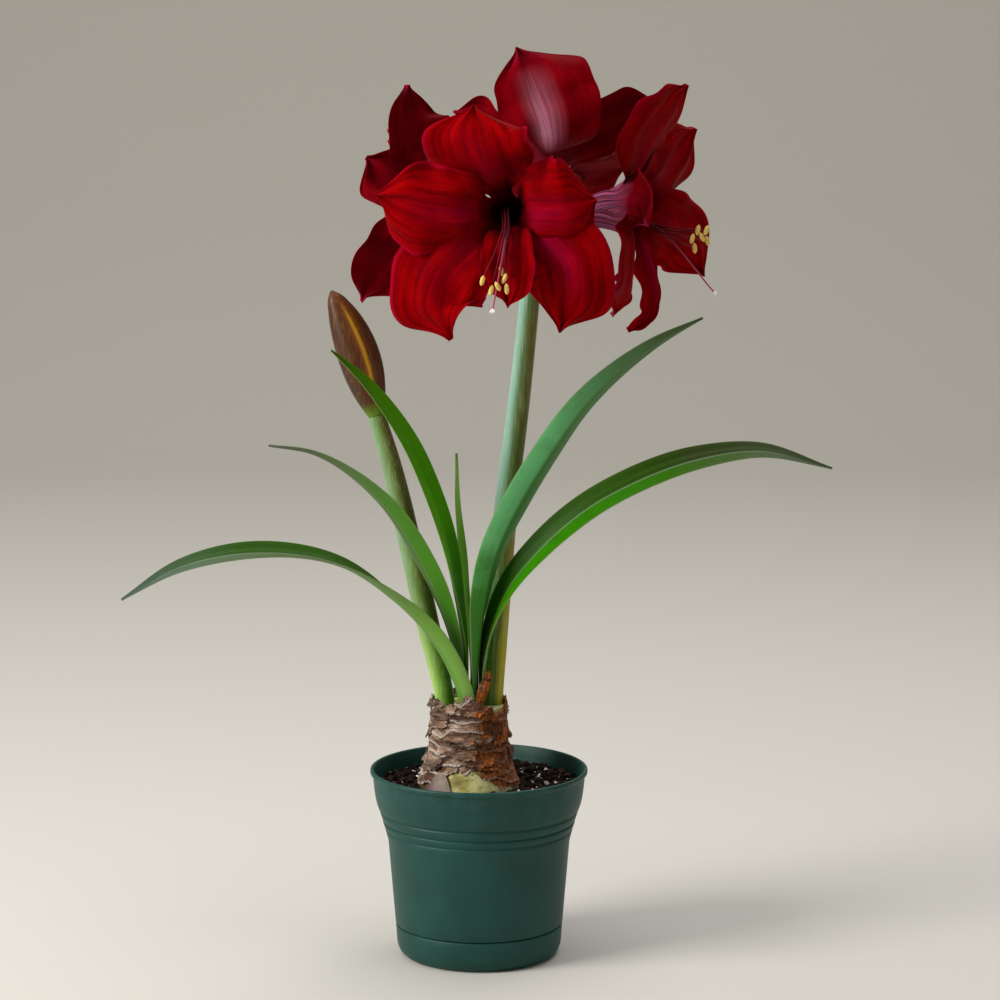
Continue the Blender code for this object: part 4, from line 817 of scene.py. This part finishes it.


# Leaves

# Leaves: straps folded along the midrib. Each has midrib points, half widths, and the tilt of its upper
# face towards the front in degrees; lean is -1 for a leaf that arches to the left and 1 to the right. The
# greens of the near and the far half run from foot to tip: the near half is painted lit, some with a painted
# grey-blue highlight, and the far half is painted in shade. Rib is the strength of the pale midrib line,
# partly the leaf's own paler midrib and partly a painted highlight, and depth is how deep the colour is.
leaves = {
    "leaf_far_left": dict(
        lean=-1, fold=0.8, rib=0.5, depth=0.62, path=[(-9, -17, 172), (-10, -18, 192), (-18, -21, 216), (-34,
        -24, 243), (-57, -28, 267), (-98, -34, 296), (-156, -40, 306), (-213, -46, 297), (-255, -50, 274)],
        half=[6.5, 9.5, 12, 12.5, 12.5, 12, 8, 1], tilt=[-60, -48, -30, -5, 12, 24, 30, 32],
        litNear=[(0, "#a5cf78"), (0.25, "#8dbc5c"), (0.45, "#739055"), (0.7, "#66795c"), (1, "#5c6b66")],
        far=[(0, "#8fc060"), (0.25, "#5f9a33"), (0.5, "#386b0c"), (0.7, "#2e5812"), (0.9, "#4c604c"), (1,
        "#566665")]),
    "leaf_mid_left": dict(
        lean=-1, fold=0.7, rib=0.2, depth=0.68, path=[(-13.2, -5.6, 172), (-13.4, -6, 190), (-15.4, -8.4,
        215), (-20, -12, 240), (-39, -20, 293), (-71, -26, 343), (-118, -30, 377), (-150, -32, 383)],
        half=[5, 8, 11, 12.5, 11.5, 9, 5, 0.9], tilt=[-4, -15, -30, -40, -40, -35, -30, -30],
        litNear=[(0, "#93bd58"), (0.3, "#4a8a14"), (0.6, "#528c26"), (0.85, "#5c6844"), (1, "#6c6672")],
        far=[(0, "#4f8a1c"), (0.3, "#346a04"), (0.7, "#455c10"), (0.9, "#3f4014"), (1, "#5a5058")]),
    "leaf_upper_left": dict(
        lean=-1, fold=0.7, rib=0.2, depth=0.85, path=[(-9.8, -6.8, 172), (-9.8, -7, 195), (-10.6, -8, 225),
        (-16, -10, 267), (-24, -14, 312), (-36, -18, 349), (-53, -22, 388), (-80, -27, 427), (-105, -30,
        451)],
        half=[6, 8, 11, 12, 11.5, 10, 7, 0.9], tilt=[-4, 0, 10, 25, 32, 35, 35, 35],
        litNear=[(0, "#5a9c1c"), (0.4, "#68b428"), (0.8, "#5a9434"), (1, "#4a5a2c")],
        far=[(0, "#3a7a04"), (0.4, "#4a980c"), (0.8, "#54961c"), (1, "#4a6a2b")]),
    "leaf_centre": dict(
        lean=-1, fold=0.7, rib=0.1, depth=0.7, path=[(-6, -4.2, 172), (-6, -4, 190), (-5.2, 1.6, 212), (-7.6,
        7.5, 242), (-12.4, 12, 286), (-16, 13, 338), (-16.3, 14, 371)],
        half=[2.6, 4.2, 6.5, 7.5, 7, 4.5, 0.9], tilt=[0, -5, -15, -25, -25, -25],
        litNear=[(0, "#6f8f3a"), (0.5, "#559410"), (1, "#56700c")],
        far=[(0, "#4a6201"), (0.5, "#4c5e06"), (1, "#3e4a0a")]),
    "leaf_upper_right": dict(
        lean=1, fold=0.7, rib=0.1, depth=0.95, path=[(-0.8, -9, 172), (-1, -10, 190), (-1, -14, 215), (0.4,
        -18.5, 240), (3, -22, 267), (11.5, -24, 303), (28, -24.5, 339), (50, -25, 375.5), (78, -26, 414.5),
        (126, -27, 455.5), (160, -28, 474)],
        half=[5.6, 8.6, 12.2, 13.5, 13.8, 12.2, 8.3, 0.9], tilt=[4, -14, -38, -50, -50, -48, -45, -45],
        litNear=[(0, "#2a6a06"), (0.3, "#3a8428"), (0.4, "#7ac486"), (0.62, "#80cc90"), (0.78, "#56845a"), (0.9,
        "#3a4628"), (1, "#302c1b")],
        far=[(0, "#1f5203"), (0.4, "#2f701c"), (0.7, "#3c7034"), (1, "#2c2c18")]),
    "leaf_right": dict(
        lean=1, fold=0.75, rib=0.45, depth=0.7, path=[(2.9, -10.4, 172), (3.2, -10.8, 195), (4.4, -12.4, 218),
        (8.8, -15, 245), (22, -18, 276.5), (45.5, -22, 306.5), (78, -26, 335.5), (116.5, -30, 357.5), (158,
        -34, 373), (201, -38, 379.5), (252, -44, 368)],
        half=[5.2, 8, 11.5, 13.5, 13.5, 12.5, 8.5, 0.9], tilt=[4, 15, 35, 42, 42, 40, 35, 32],
        litNear=[(0, "#6a8a14"), (0.3, "#429026"), (0.6, "#3e7c2a"), (0.8, "#465e32"), (1, "#4a5248")],
        far=[(0, "#183c0a"), (0.3, "#1f5404"), (0.55, "#2c5210"), (0.75, "#333f24"), (1, "#3c4430")])}

leafShape = {"rows": 170, "cols": 21, "thick": 2.0, "edge": 0.7}


# Leaf grid: rows along the midrib and columns across an arc. A column at t in -1..1 lies at reach*sin(fold*t)
# along the leaf's side and reach*(1-cos(fold*t)) towards its upper face; reach is half width over fold.
def leafGrid(leaf, rows, cols):
    where = np.linspace(0, 1, rows)
    place, heading = alongPath(leaf["path"], where)
    away = unit(np.array([0.0, 1.0, 0.0]) - heading[:, 1:2] * heading)
    inward = -leaf["lean"] * np.cross(away, heading)
    tilt = np.radians(throughKnots(np.linspace(0, 1, len(leaf["tilt"])), leaf["tilt"], where))[:, None]
    half = np.maximum(throughKnots(np.linspace(0, 1, len(leaf["half"])), leaf["half"], where), 0.7)
    side = away * np.cos(tilt) + inward * np.sin(tilt)
    face = inward * np.cos(tilt) - away * np.sin(tilt)
    fold = leaf["fold"] * (1 - 0.45 * where)
    t = np.linspace(-1, 1, cols)
    bend = np.outer(fold, t)
    reach = (half / fold)[:, None]
    ribs = np.outer(smoothRise(where, 0.1, 0.3), 0.10 * np.cos(9 * t) - 0.55 * np.exp(-(t / 0.13) ** 2))
    sway = np.outer(0.35 * np.sin(17 * where + 3 * leaf["lean"]) * smoothRise(where, 0.25, 0.5), t ** 2)
    grid = (place[:, None] + side[:, None] * (reach * np.sin(bend))[..., None]
            + face[:, None] * (reach * (1 - np.cos(bend)) + ribs + sway)[..., None])
    slim = leafShape["thick"] * (1 - 0.5 * where)[:, None] * (1 - 0.55 * np.abs(t)) + 0.05
    slim = np.maximum(slim, leafShape["edge"]) * (1 - 0.45 * smoothRise(np.abs(t), 0.85, 1.0))[None]
    return grid, slim, where, t


# Strap leaf: thick, smooth and waxy, so a soft gloss over close parallel veins. The near and the far half
# each run through their own greens from foot to tip, painted lit on the near half and in painted shade on the
# far half, and a paler line marks the midrib, partly a painted highlight, and the margins.
def strapLeaf(name, leaf):
    paint = Paint(name, {"IOR": 1.45, "Coat Weight": 0.03, "Coat Roughness": 0.3, "Subsurface Weight": 0.04,
                         "Subsurface Scale": 0.002, "Specular IOR Level": 0.15, "Specular Tint": "#b9d0a0"})
    across, along, side = [paint.mark(key) for key in ("across", "along", "side")]
    veins = paint.noise(0.035, 2.0, 0.6, (1, 14, 1), "UV")
    cloud = paint.noise(0.022, 4.0, 0.6)
    drift = paint.shifted(along, cloud, 0.5, 0.16)
    half = paint.math("ADD", paint.times(across, 4.0), 0.5, True)
    away = paint.math("ABSOLUTE", across)
    # Pale midrib line: partly the leaf's own paler midrib, partly a painted highlight along the fold
    line = paint.times(paint.ramp(away, (0.0, leaf["rib"]), (0.09, 0.0)),
                       paint.ramp(along, (0.1, 0.0), (0.3, 1.0)))
    # The half mask swaps the near half's painted lit greens for the far half's greens in painted shade
    green = paint.layers(
        paint.ramp(drift, *leaf["litNear"]), (half, paint.ramp(drift, *leaf["far"])),
        (veins, (0.5, 0.0), (0.72, 0.22), "#8fae6a"), (cloud, (0.3, 0.25), (0.5, 0.0), "#1f3a0a"),
        (line, "#a9b8a0"), (away, (0.94, 0.0), (0.985, 0.55), "#93a070"), (paint.times(side, 0.2), "#8fae8a"))
    deeper = addNode(paint.tree, "ShaderNodeHueSaturation", {"Saturation": 1.18, "Value": leaf["depth"],
                                                             "Color": green})
    return paint.finish(deeper.outputs[0], (veins, 0.25, 0.0005), paint.ramp(cloud, (0.3, 0.4), (0.8, 0.52)))


for name, leaf in leaves.items():
    grid, slim, where, t = leafGrid(leaf, leafShape["rows"], leafShape["cols"])
    blade = closedBlade(grid, slim, t[None], where[:, None])
    blade[2]["side"] = np.abs(blade[2]["side"] - (1.0 if leaf["lean"] < 0 else 0.0))
    makePiece(name.replace("leaf", "strap"), blade, strapLeaf("waxy strap " + name, leaf), [name], 60)

# Husk: what is left of an old leaf, a thin curled blade whose end is torn into points
husk = {"path": [(0.4, -18.2, 172), (0.6, -18.4, 190), (3.4, -20, 203), (7.2, -20, 213)],
        "half": [1.3, 1.5, 2.2, 3.8, 3.8, 2], "rows": 60, "cols": 21}
where = np.linspace(0, 1, husk["rows"])
place, heading = alongPath(husk["path"], where)
t = np.linspace(-1, 1, husk["cols"])
half = throughKnots(np.linspace(0, 1, 6), husk["half"], where)
torn = 1 + 0.25 * np.sin(9 * t)[None] * smoothRise(where, 0.6, 1.0)[:, None]
grid = place[:, None] + np.array([1.0, 0.0, 0.0]) * (half[:, None] * t * torn)[..., None]
grid[..., 1] -= 0.9 * (1 - t ** 2)[None] + 0.2 * softNoise(4 * t[None], 9 * where[:, None], 3)
grid[..., 2] += np.outer(smoothRise(where, 0.75, 1.0), 2.6 * np.sin(11 * t + 1) + 1.2 * np.sin(23 * t))
huskBlade = closedBlade(grid, 0.6, t[None], where[:, None])
huskBlade[2]["step"] = np.full(len(huskBlade[0]), 0.7)
makePiece("old_leaf_husk", huskBlade, driedSkin("dry leaf husk"), ["dry_leaf_stub"])
print("leaves made")


# Blooms

petalShape = {"rows": 72, "cols": 33, "thick": 0.7, "edge": 0.32, "tubeRadius": 5.2, "ringStep": 1.3}


def petalRows(neck, rows):
    limb = np.linspace(0, 1, rows - 10) ** 0.92
    return np.concatenate([np.linspace(0, neck, 11)[:-1], neck + (1 - neck) * limb])


# Petal grid: the midrib leaves the tube, turns out at the throat and runs to the tip. Each row is an arc
# round the tube at the foot that opens to the limb's own curl. The margins carry a slow wave and a finer
# frill.
def petalGrid(bloom, petal, rows, cols):
    throat, facing, right, up, foot = bloomFrame(bloom)
    angle = math.radians(petal["angle"])
    out = right * math.cos(angle) + up * math.sin(angle)
    step = petalShape["ringStep"] if petal["outer"] else 0.0
    tubeWay = unit(throat - foot)
    outFoot = unit(out - (out @ tubeWay) * tubeWay)
    throatRadius = bloom["width"]
    path = [foot + outFoot * (petalShape["tubeRadius"] + step), throat + out * (throatRadius + step)]
    path += [throat + np.array(p, float) for p in petal["mid"]]
    reach = np.linalg.norm(np.diff(np.array(path), axis=0), axis=1)
    neck = reach[0] / reach.sum()
    where = petalRows(neck, rows)
    place, heading = alongPath(path, where)
    limb = (where - neck) / (1 - neck)
    stops = [0, neck] + [neck + f * (1 - neck) for f in (0.22, 0.48, 0.68, 0.82, 0.90, 0.96, 1.0)]
    shape = throughKnots(stops, [0.14, 0.36, 0.80, 1.0, 1.0, 0.80, 0.42, 0.12, 0.02], where)
    roundTube = throughKnots(stops, [3.4, 0.64 * throatRadius, 3.0, 0, 0, 0, 0, 0, 0], where)
    blend = smoothRise(where, neck * 0.9, neck + 0.25 * (1 - neck))
    t = np.linspace(-1, 1, cols)
    widest = np.where(t < 0, petal["half"][0], petal["half"][1])
    curl, phase = petal["curl"], petal["phase"]
    nick = np.sin(23 * limb[:, None] + phase * 5 + np.sign(t)) * smoothRise(limb, 0.25, 0.5)[:, None]
    limbWide = shape[:, None] * widest * (1 + 0.026 * nick)
    half = np.maximum(roundTube[:, None] * (1 - blend[:, None]) + limbWide * blend[:, None], 0.4)
    bend = throughKnots([0, neck, neck + 0.3 * (1 - neck), 1], [0.86, 0.75, curl, curl * 1.2], where)
    bend = np.where(np.abs(bend) < 0.02, 0.02, bend)[:, None]
    side = unit(np.cross(facing, out))
    side = unit(side - (heading @ side)[:, None] * heading)
    face = np.cross(heading, side)
    twist = np.radians(petal["twist"]) * smoothRise(where, neck, 1)[:, None]
    side, face = side * np.cos(twist) + face * np.sin(twist), face * np.cos(twist) - side * np.sin(twist)
    turn = bend * t
    free = smoothRise(limb, 0.0, 0.35)[:, None]
    down, margin = where[:, None], np.sign(t)
    wave = petal["ruffle"] * free * np.abs(t) ** 1.6 * np.sin(circle * 2.1 * down + phase + 1.9 * margin)
    frill = 1.5 * free * smoothRise(np.abs(t), 0.45, 1.0)[None] * np.sin(
        circle * 5.3 * down + phase * 3.1 + 2.4 * margin)
    frill += 1.6 * free * np.abs(t) ** 1.4 * np.sin(circle * 3.3 * down + phase * 1.7 + margin)
    fold = 1.5 * free * (1 - np.abs(t) ** 4) * np.sin(7.5 * t + 2 * phase + 1.6 * np.sin(4 * down))
    pleat = 0.22 * free * np.cos(t * 21 + 0.6 * np.sin(5 * down))
    rib = -1.2 * free * np.exp(-(t / 0.16) ** 2) + 0.5 * free * np.exp(-(t / 0.05) ** 2)
    relief = wave + frill + fold + pleat + rib
    grid = (place[:, None] + side[:, None] * (half / bend * np.sin(turn))[..., None]
            + face[:, None] * (half / bend * (1 - np.cos(turn)) + relief)[..., None])
    return grid, where, limb, t


# Amaryllis petal: a fleshy tissue of tiny domed cells that swallow the light, so velvety and saturated.
# Crimson, nearly black in the throat, partly its own darker throat and partly painted shade, with branching
# darker veins; beside the midrib a painted sheen, magenta at middle strengths and a pale pink painted
# highlight at full strength, as strong as its mark says; the back is duller, and rose with purple ribs on the
# tube where the pale mark says so.
def velvetPetal(name):
    paint = Paint(name, {"IOR": 1.3, "Specular IOR Level": 0.06, "Specular Tint": "#c8204a",
                         "Subsurface Weight": 0.06, "Subsurface Scale": 0.002,
                         "Subsurface Radius": (1.0, 0.1, 0.08)})
    across, limb, side, glow, pale = [paint.mark(key) for key in ("across", "limb", "side", "glow", "pale")]
    veins = paint.noise(0.055, 3.0, 0.65, (1, 18, 1), "UV")
    branch = paint.noise(0.16, 4.0, 0.6, (1, 4, 1), "UV")
    cloud = paint.noise(0.02, 3.0, 0.6)
    away = paint.math("ABSOLUTE", across)
    # Near-black at the throat end: partly the petal's own darker throat, partly painted shade in the tube
    crimson = paint.ramp(limb, (0.0, "#0d0002"), (0.1, "#2a0005"), (0.24, "#5c0007"), (0.45, "#780004"),
                         (0.8, "#880004"), (1.0, "#780008"))
    edge = paint.times(paint.ramp(away, (0.88, 0.0), (1.0, 0.5)), paint.ramp(limb, (0.3, 0.0), (0.6, 1.0)))
    tube = paint.times(paint.ramp(limb, (0.0, 1.0), (0.3, 0.0)), pale)
    ribs = paint.times(paint.ramp(veins, (0.4, 0.0), (0.56, 0.95)),
                       paint.math("ADD", paint.times(tube, 0.8), 0.2))
    outside = paint.layers(
        "#6a0008", (cloud, (0.35, 0.0), (0.7, 0.8), "#8c0410"),
        (tube, paint.ramp(branch, (0.38, "#8c5a86"), (0.6, "#c05878"))), (ribs, "#30020f"),
        (paint.times(paint.ramp(limb, (0.84, 0.0), (1.0, 0.7)), pale), "#c23a68"))
    middle = paint.times(paint.ramp(away, (0.0, 0.8), (0.1, 0.65), (0.24, 0.25), (0.45, 0.0)),
                         paint.ramp(limb, (0.08, 0.0), (0.3, 1.0), (0.45, 0.75), (0.85, 0.0)))
    # Painted sheen beside the midrib: magenta tint, turning into a pale pink painted highlight at full
    # strength
    rose = paint.times(paint.times(middle, paint.ramp(veins, (0.34, 0.2), (0.64, 1.0))), glow)
    colour = paint.layers(
        crimson, (cloud, (0.38, 0.0), (0.72, 0.7), "#a20303"),
        (paint.times(paint.ramp(branch, (0.36, 0.8), (0.56, 0.0)), 0.8), "#4a0006"), (edge, "#a80830"),
        (side, outside), (rose, paint.ramp(glow, (0.0, "#8c0520"), (0.8, "#b00a44"), (1.0, "#cf98b4"))))
    height = paint.math("ADD", veins, paint.times(paint.noise(0.0009, 2.0, 0.6), 0.35))
    return paint.finish(colour, (height, 0.4, 0.0008), paint.ramp(cloud, (0.3, 0.5), (0.8, 0.62)))


# Filament: a smooth fleshy thread, dark red and glossy
def threadSkin(name, low, high):
    paint = Paint(name, {"Roughness": 0.55, "IOR": 1.4, "Specular IOR Level": 0.2})
    return paint.finish(paint.ramp(paint.mark("along"), (0.3, low), (1.0, high)),
                        (paint.noise(0.0007, 2.0), 0.15, 0.0003))


# Pollen sac: two lobes covered with loose yellow grains, so matt and powdery
def pollenSac(name):
    paint = Paint(name, {"Roughness": 0.85, "IOR": 1.4, "Sheen Weight": 0.2})
    grains = paint.noise(0.0006, 3.0, 0.7)
    return paint.finish(paint.ramp(grains, (0.3, "#b8862a"), (0.5, "#e2c25a"), (0.75, "#f4e6a2")),
                        (grains, 0.6, 0.0005))


# Stigma: a moist, nearly white tip
def stigmaSkin(name):
    paint = Paint(name, {"Roughness": 0.35, "IOR": 1.4, "Subsurface Weight": 0.2, "Subsurface Scale": 0.001})
    return paint.finish(paint.ramp(paint.noise(0.0008, 2.0), (0.3, "#e9cfd6"), (0.7, "#fbf1f0")))


velvet = velvetPetal("velvety crimson petal")
filamentRed = threadSkin("glossy red filament", "#30000a", "#78061a")
styleRose = threadSkin("rose style", "#5c0210", "#b04a64")
pollen = pollenSac("powdery pollen sac")
stigmaWhite = stigmaSkin("moist stigma")

stamens = {
    "front": dict(sag=(0.5, -22, -14), stigma=(-8.5, -44, -66), tips=[
        (-15.5, -40, -46), (-9.5, -38, -53), (-5, -40, -50), (-0.5, -36, -45), (1, -38, -52),
        (-2.5, -32, -40)]),
    "right": dict(sag=(26, -16, -14), stigma=(66, -40, -58), tips=[
        (50, -38, -20), (54, -36, -14), (57, -36, -19), (60, -38, -14), (52, -34, -27),
        (61, -32, -22)]),
    "back": dict(sag=(4, 26, 6), stigma=(10, 62, 8), tips=[
        (-2, 50, 22), (3, 52, 16), (8, 50, 22), (12, 48, 15), (-5, 48, 13),
        (6, 54, 9)]),
    "left": dict(sag=(-14, 12, -8), stigma=(-36, 40, -24), tips=[
        (-27, 28, -12), (-30, 27, -17), (-27, 34, -18), (-31, 33, -12), (-25, 28, -20),
        (-29, 35, -23)])}
threads = {"radius": 0.7, "sac": 7.6, "sides": 10, "rows": 44}

# How strong a petal's painted sheen is beside its midrib, by bloom and place in the ring
petalPaintedSheen = {("front", 1): 0.62, ("front", 2): 0.8, ("front", 5): 0.5, ("back", 0): 1.0, ("right", 3): 0.7,
             ("right", 4): 0.7}

for bloomName, bloom in blooms.items():
    throat, facing, right, up, foot = bloomFrame(bloom)
    tubeWay = unit(throat - foot)
    petals = Gather()
    for k, values in enumerate(bloom["petals"]):
        petal = dict(zip(petalKeys, values))
        grid, where, limb, t = petalGrid(bloom, petal, petalShape["rows"], petalShape["cols"])
        slim = petalShape["thick"] + (petalShape["edge"] - petalShape["thick"]) * np.abs(t)[None] ** 3
        petals.add(closedBlade(grid, slim, t[None], where[:, None]), glow=petalPaintedSheen.get((bloomName, k), 0.35),
                   pale=1.0 if bloomName == "right" else 0.12)
        petals.marks.setdefault("limb", []).append(np.tile(np.repeat(np.clip(limb, 0, 1), len(t)), 2))
    side = besideTube(tubeWay)
    top = np.cross(side, tubeWay)
    plug = tubeGrid([foot + tubeWay * f for f in (-1.0, 3.0, 7.0)], [7.0, 7.8, 8.2], 24, 6, look=side)
    petals.add(closedTube(plug), glow=0.0, pale=0.0, limb=0.0)
    makePiece("bloom_" + bloomName + "_petals", petals.shape(), velvet, ["bloom_" + bloomName], 60)

    plan = stamens[bloomName]
    sagPoint = throat + np.array(plan["sag"])
    filaments, sacs, style, stigma = Gather(), Gather(), Gather(), Gather()
    for k, tip in enumerate(plan["tips"] + [plan["stigma"]]):
        spin = circle * k / 6
        ringStep = (side * math.cos(spin) + top * math.sin(spin)) * (2.6 if k < 6 else 0.0)
        end = throat + np.array(tip)
        path = [foot + tubeWay * 5.0 + ringStep, throat + ringStep * 0.9 - facing * 4.0,
                sagPoint + ringStep, end]
        thread = tubeGrid(path, [threads["radius"] * 1.2, threads["radius"] * 0.8], threads["sides"],
                          threads["rows"], look=side)
        (filaments if k < 6 else style).add(closedTube(thread))
        if k < 6:
            lean = unit(np.array([0.5 * math.sin(2.3 * k + 0.4), 0.3 * math.cos(1.7 * k), 0.8 + 0.1 * k]))
            sac = tubeGrid([end - lean * threads["sac"] / 2, end, end + lean * threads["sac"] / 2],
                           [0.25, 1.5, 1.75, 1.75, 1.5, 0.25], 20, 26, look=(1.0, 0.3, 0.0))
            groove = 1 - 0.3 * np.exp(-(np.sin(around(20)) / 0.3) ** 2)
            sacs.add(closedTube(swell(sac, groove[None, :, None])))
        else:
            drop = unit(end - sagPoint)
            for m in range(3):
                spread = unit(drop + 0.9 * (side * math.cos(circle * m / 3) + top * math.sin(circle * m / 3)))
                stigma.add(closedTube(tubeGrid([end - drop * 0.6, end + spread * 1.2, end + spread * 2.6],
                                               [0.7, 1.0, 0.35], 12, 10, look=side)))
    for part, gather, look in (("filaments", filaments, filamentRed), ("anthers", sacs, pollen),
                               ("style", style, styleRose), ("stigma", stigma, stigmaWhite)):
        makePiece("bloom_" + bloomName + "_" + part, gather.shape(), look)
print("blooms made")


# Studio

studio = {
    "floor": "#cbc8c1", "far": "#b6b2a8", "air": "#d9d6d0", "reach": 9.0, "wall": 3.9, "curve": 1.4,
    "airStrength": 0.24, "cameraPlace": (0.0155, -2.3, 0.6906), "cameraDip": 8.7, "lens": 115.2,
    "sensor": 36.0}

# Floor: a flat sweep that curves up far behind; its profile of (depth, height) is carried straight across
bend = np.linspace(0, math.pi / 2, 17)
reach, wall, curve = studio["reach"], studio["wall"], studio["curve"]
rise = np.stack([wall - curve * (1 - np.sin(bend)), curve * (1 - np.cos(bend))], 1)
sweep = np.concatenate([[[-reach, 0.0]], rise, [[wall, reach]]])
floorMesh = bpy.data.meshes.new("studio_floor")
floorMesh.from_pydata([(x, y, z) for y, z in sweep for x in (-reach, reach)], [], gridQuads(len(sweep), 2))
floorMesh.shade_smooth()
paint = Paint("matt studio floor", {"Roughness": 0.95, "Specular IOR Level": 0.1})
# The floor is painted darker with distance from the plant: a painted falloff of the light
depth = addNode(paint.tree, "ShaderNodeVectorMath", {0: paint.coordinates()}, operation="LENGTH")
far = paint.fade(depth.outputs["Value"], 0.4, 3.5, 0.0, 1.0)
floorMesh.materials.append(paint.finish(paint.layers(studio["floor"], (far, studio["far"]))))
floorPiece = addObject("studio_floor", floorMesh)


def addLight(name, place, aim, size, power, colour):
    data = bpy.data.lights.new(name, "AREA")
    data.shape, data.size, data.energy, data.color = "SQUARE", size, power, colour
    light = addObject(name, data)
    light.location = place
    way = unit(np.array(aim) - np.array(place))
    light.rotation_euler = (math.acos(-way[2]), 0.0, math.atan2(-way[0], way[1]))


addLight("window_key", (-2.0, -1.0, 1.3), (0.0, 0.0, 0.4), 1.1, 66.0, (1.0, 0.97, 0.93))
addLight("right_fill", (1.7, -1.4, 0.9), (0.0, 0.0, 0.4), 1.4, 4.0, (0.95, 0.97, 1.0))
addLight("back_rim", (0.6, 0.9, 1.7), (0.0, 0.0, 0.5), 1.0, 4.0, (1.0, 0.98, 0.95))
addLight("soft_ceiling", (0.0, 0.6, 4.4), (0.0, 0.6, 0.0), 5.0, 150.0, (0.98, 0.99, 1.0))

world = bpy.data.worlds.new("studio air")
bpy.context.scene.world = world
world.use_nodes = True
air = world.node_tree.nodes["Background"]
air.inputs["Color"].default_value = fromHex(studio["air"])
air.inputs["Strength"].default_value = studio["airStrength"]

cameraData = bpy.data.cameras.new("photo_camera")
cameraData.lens, cameraData.sensor_width = studio["lens"], studio["sensor"]
cameraData.sensor_fit, cameraData.clip_end = "HORIZONTAL", 20.0
camera = addObject("photo_camera", cameraData)
camera.location = studio["cameraPlace"]
camera.rotation_euler = (math.radians(90 - studio["cameraDip"]), 0.0, 0.0)
bpy.context.scene.camera = camera
bpy.context.scene.view_settings.view_transform = "Standard"
print("studio made")
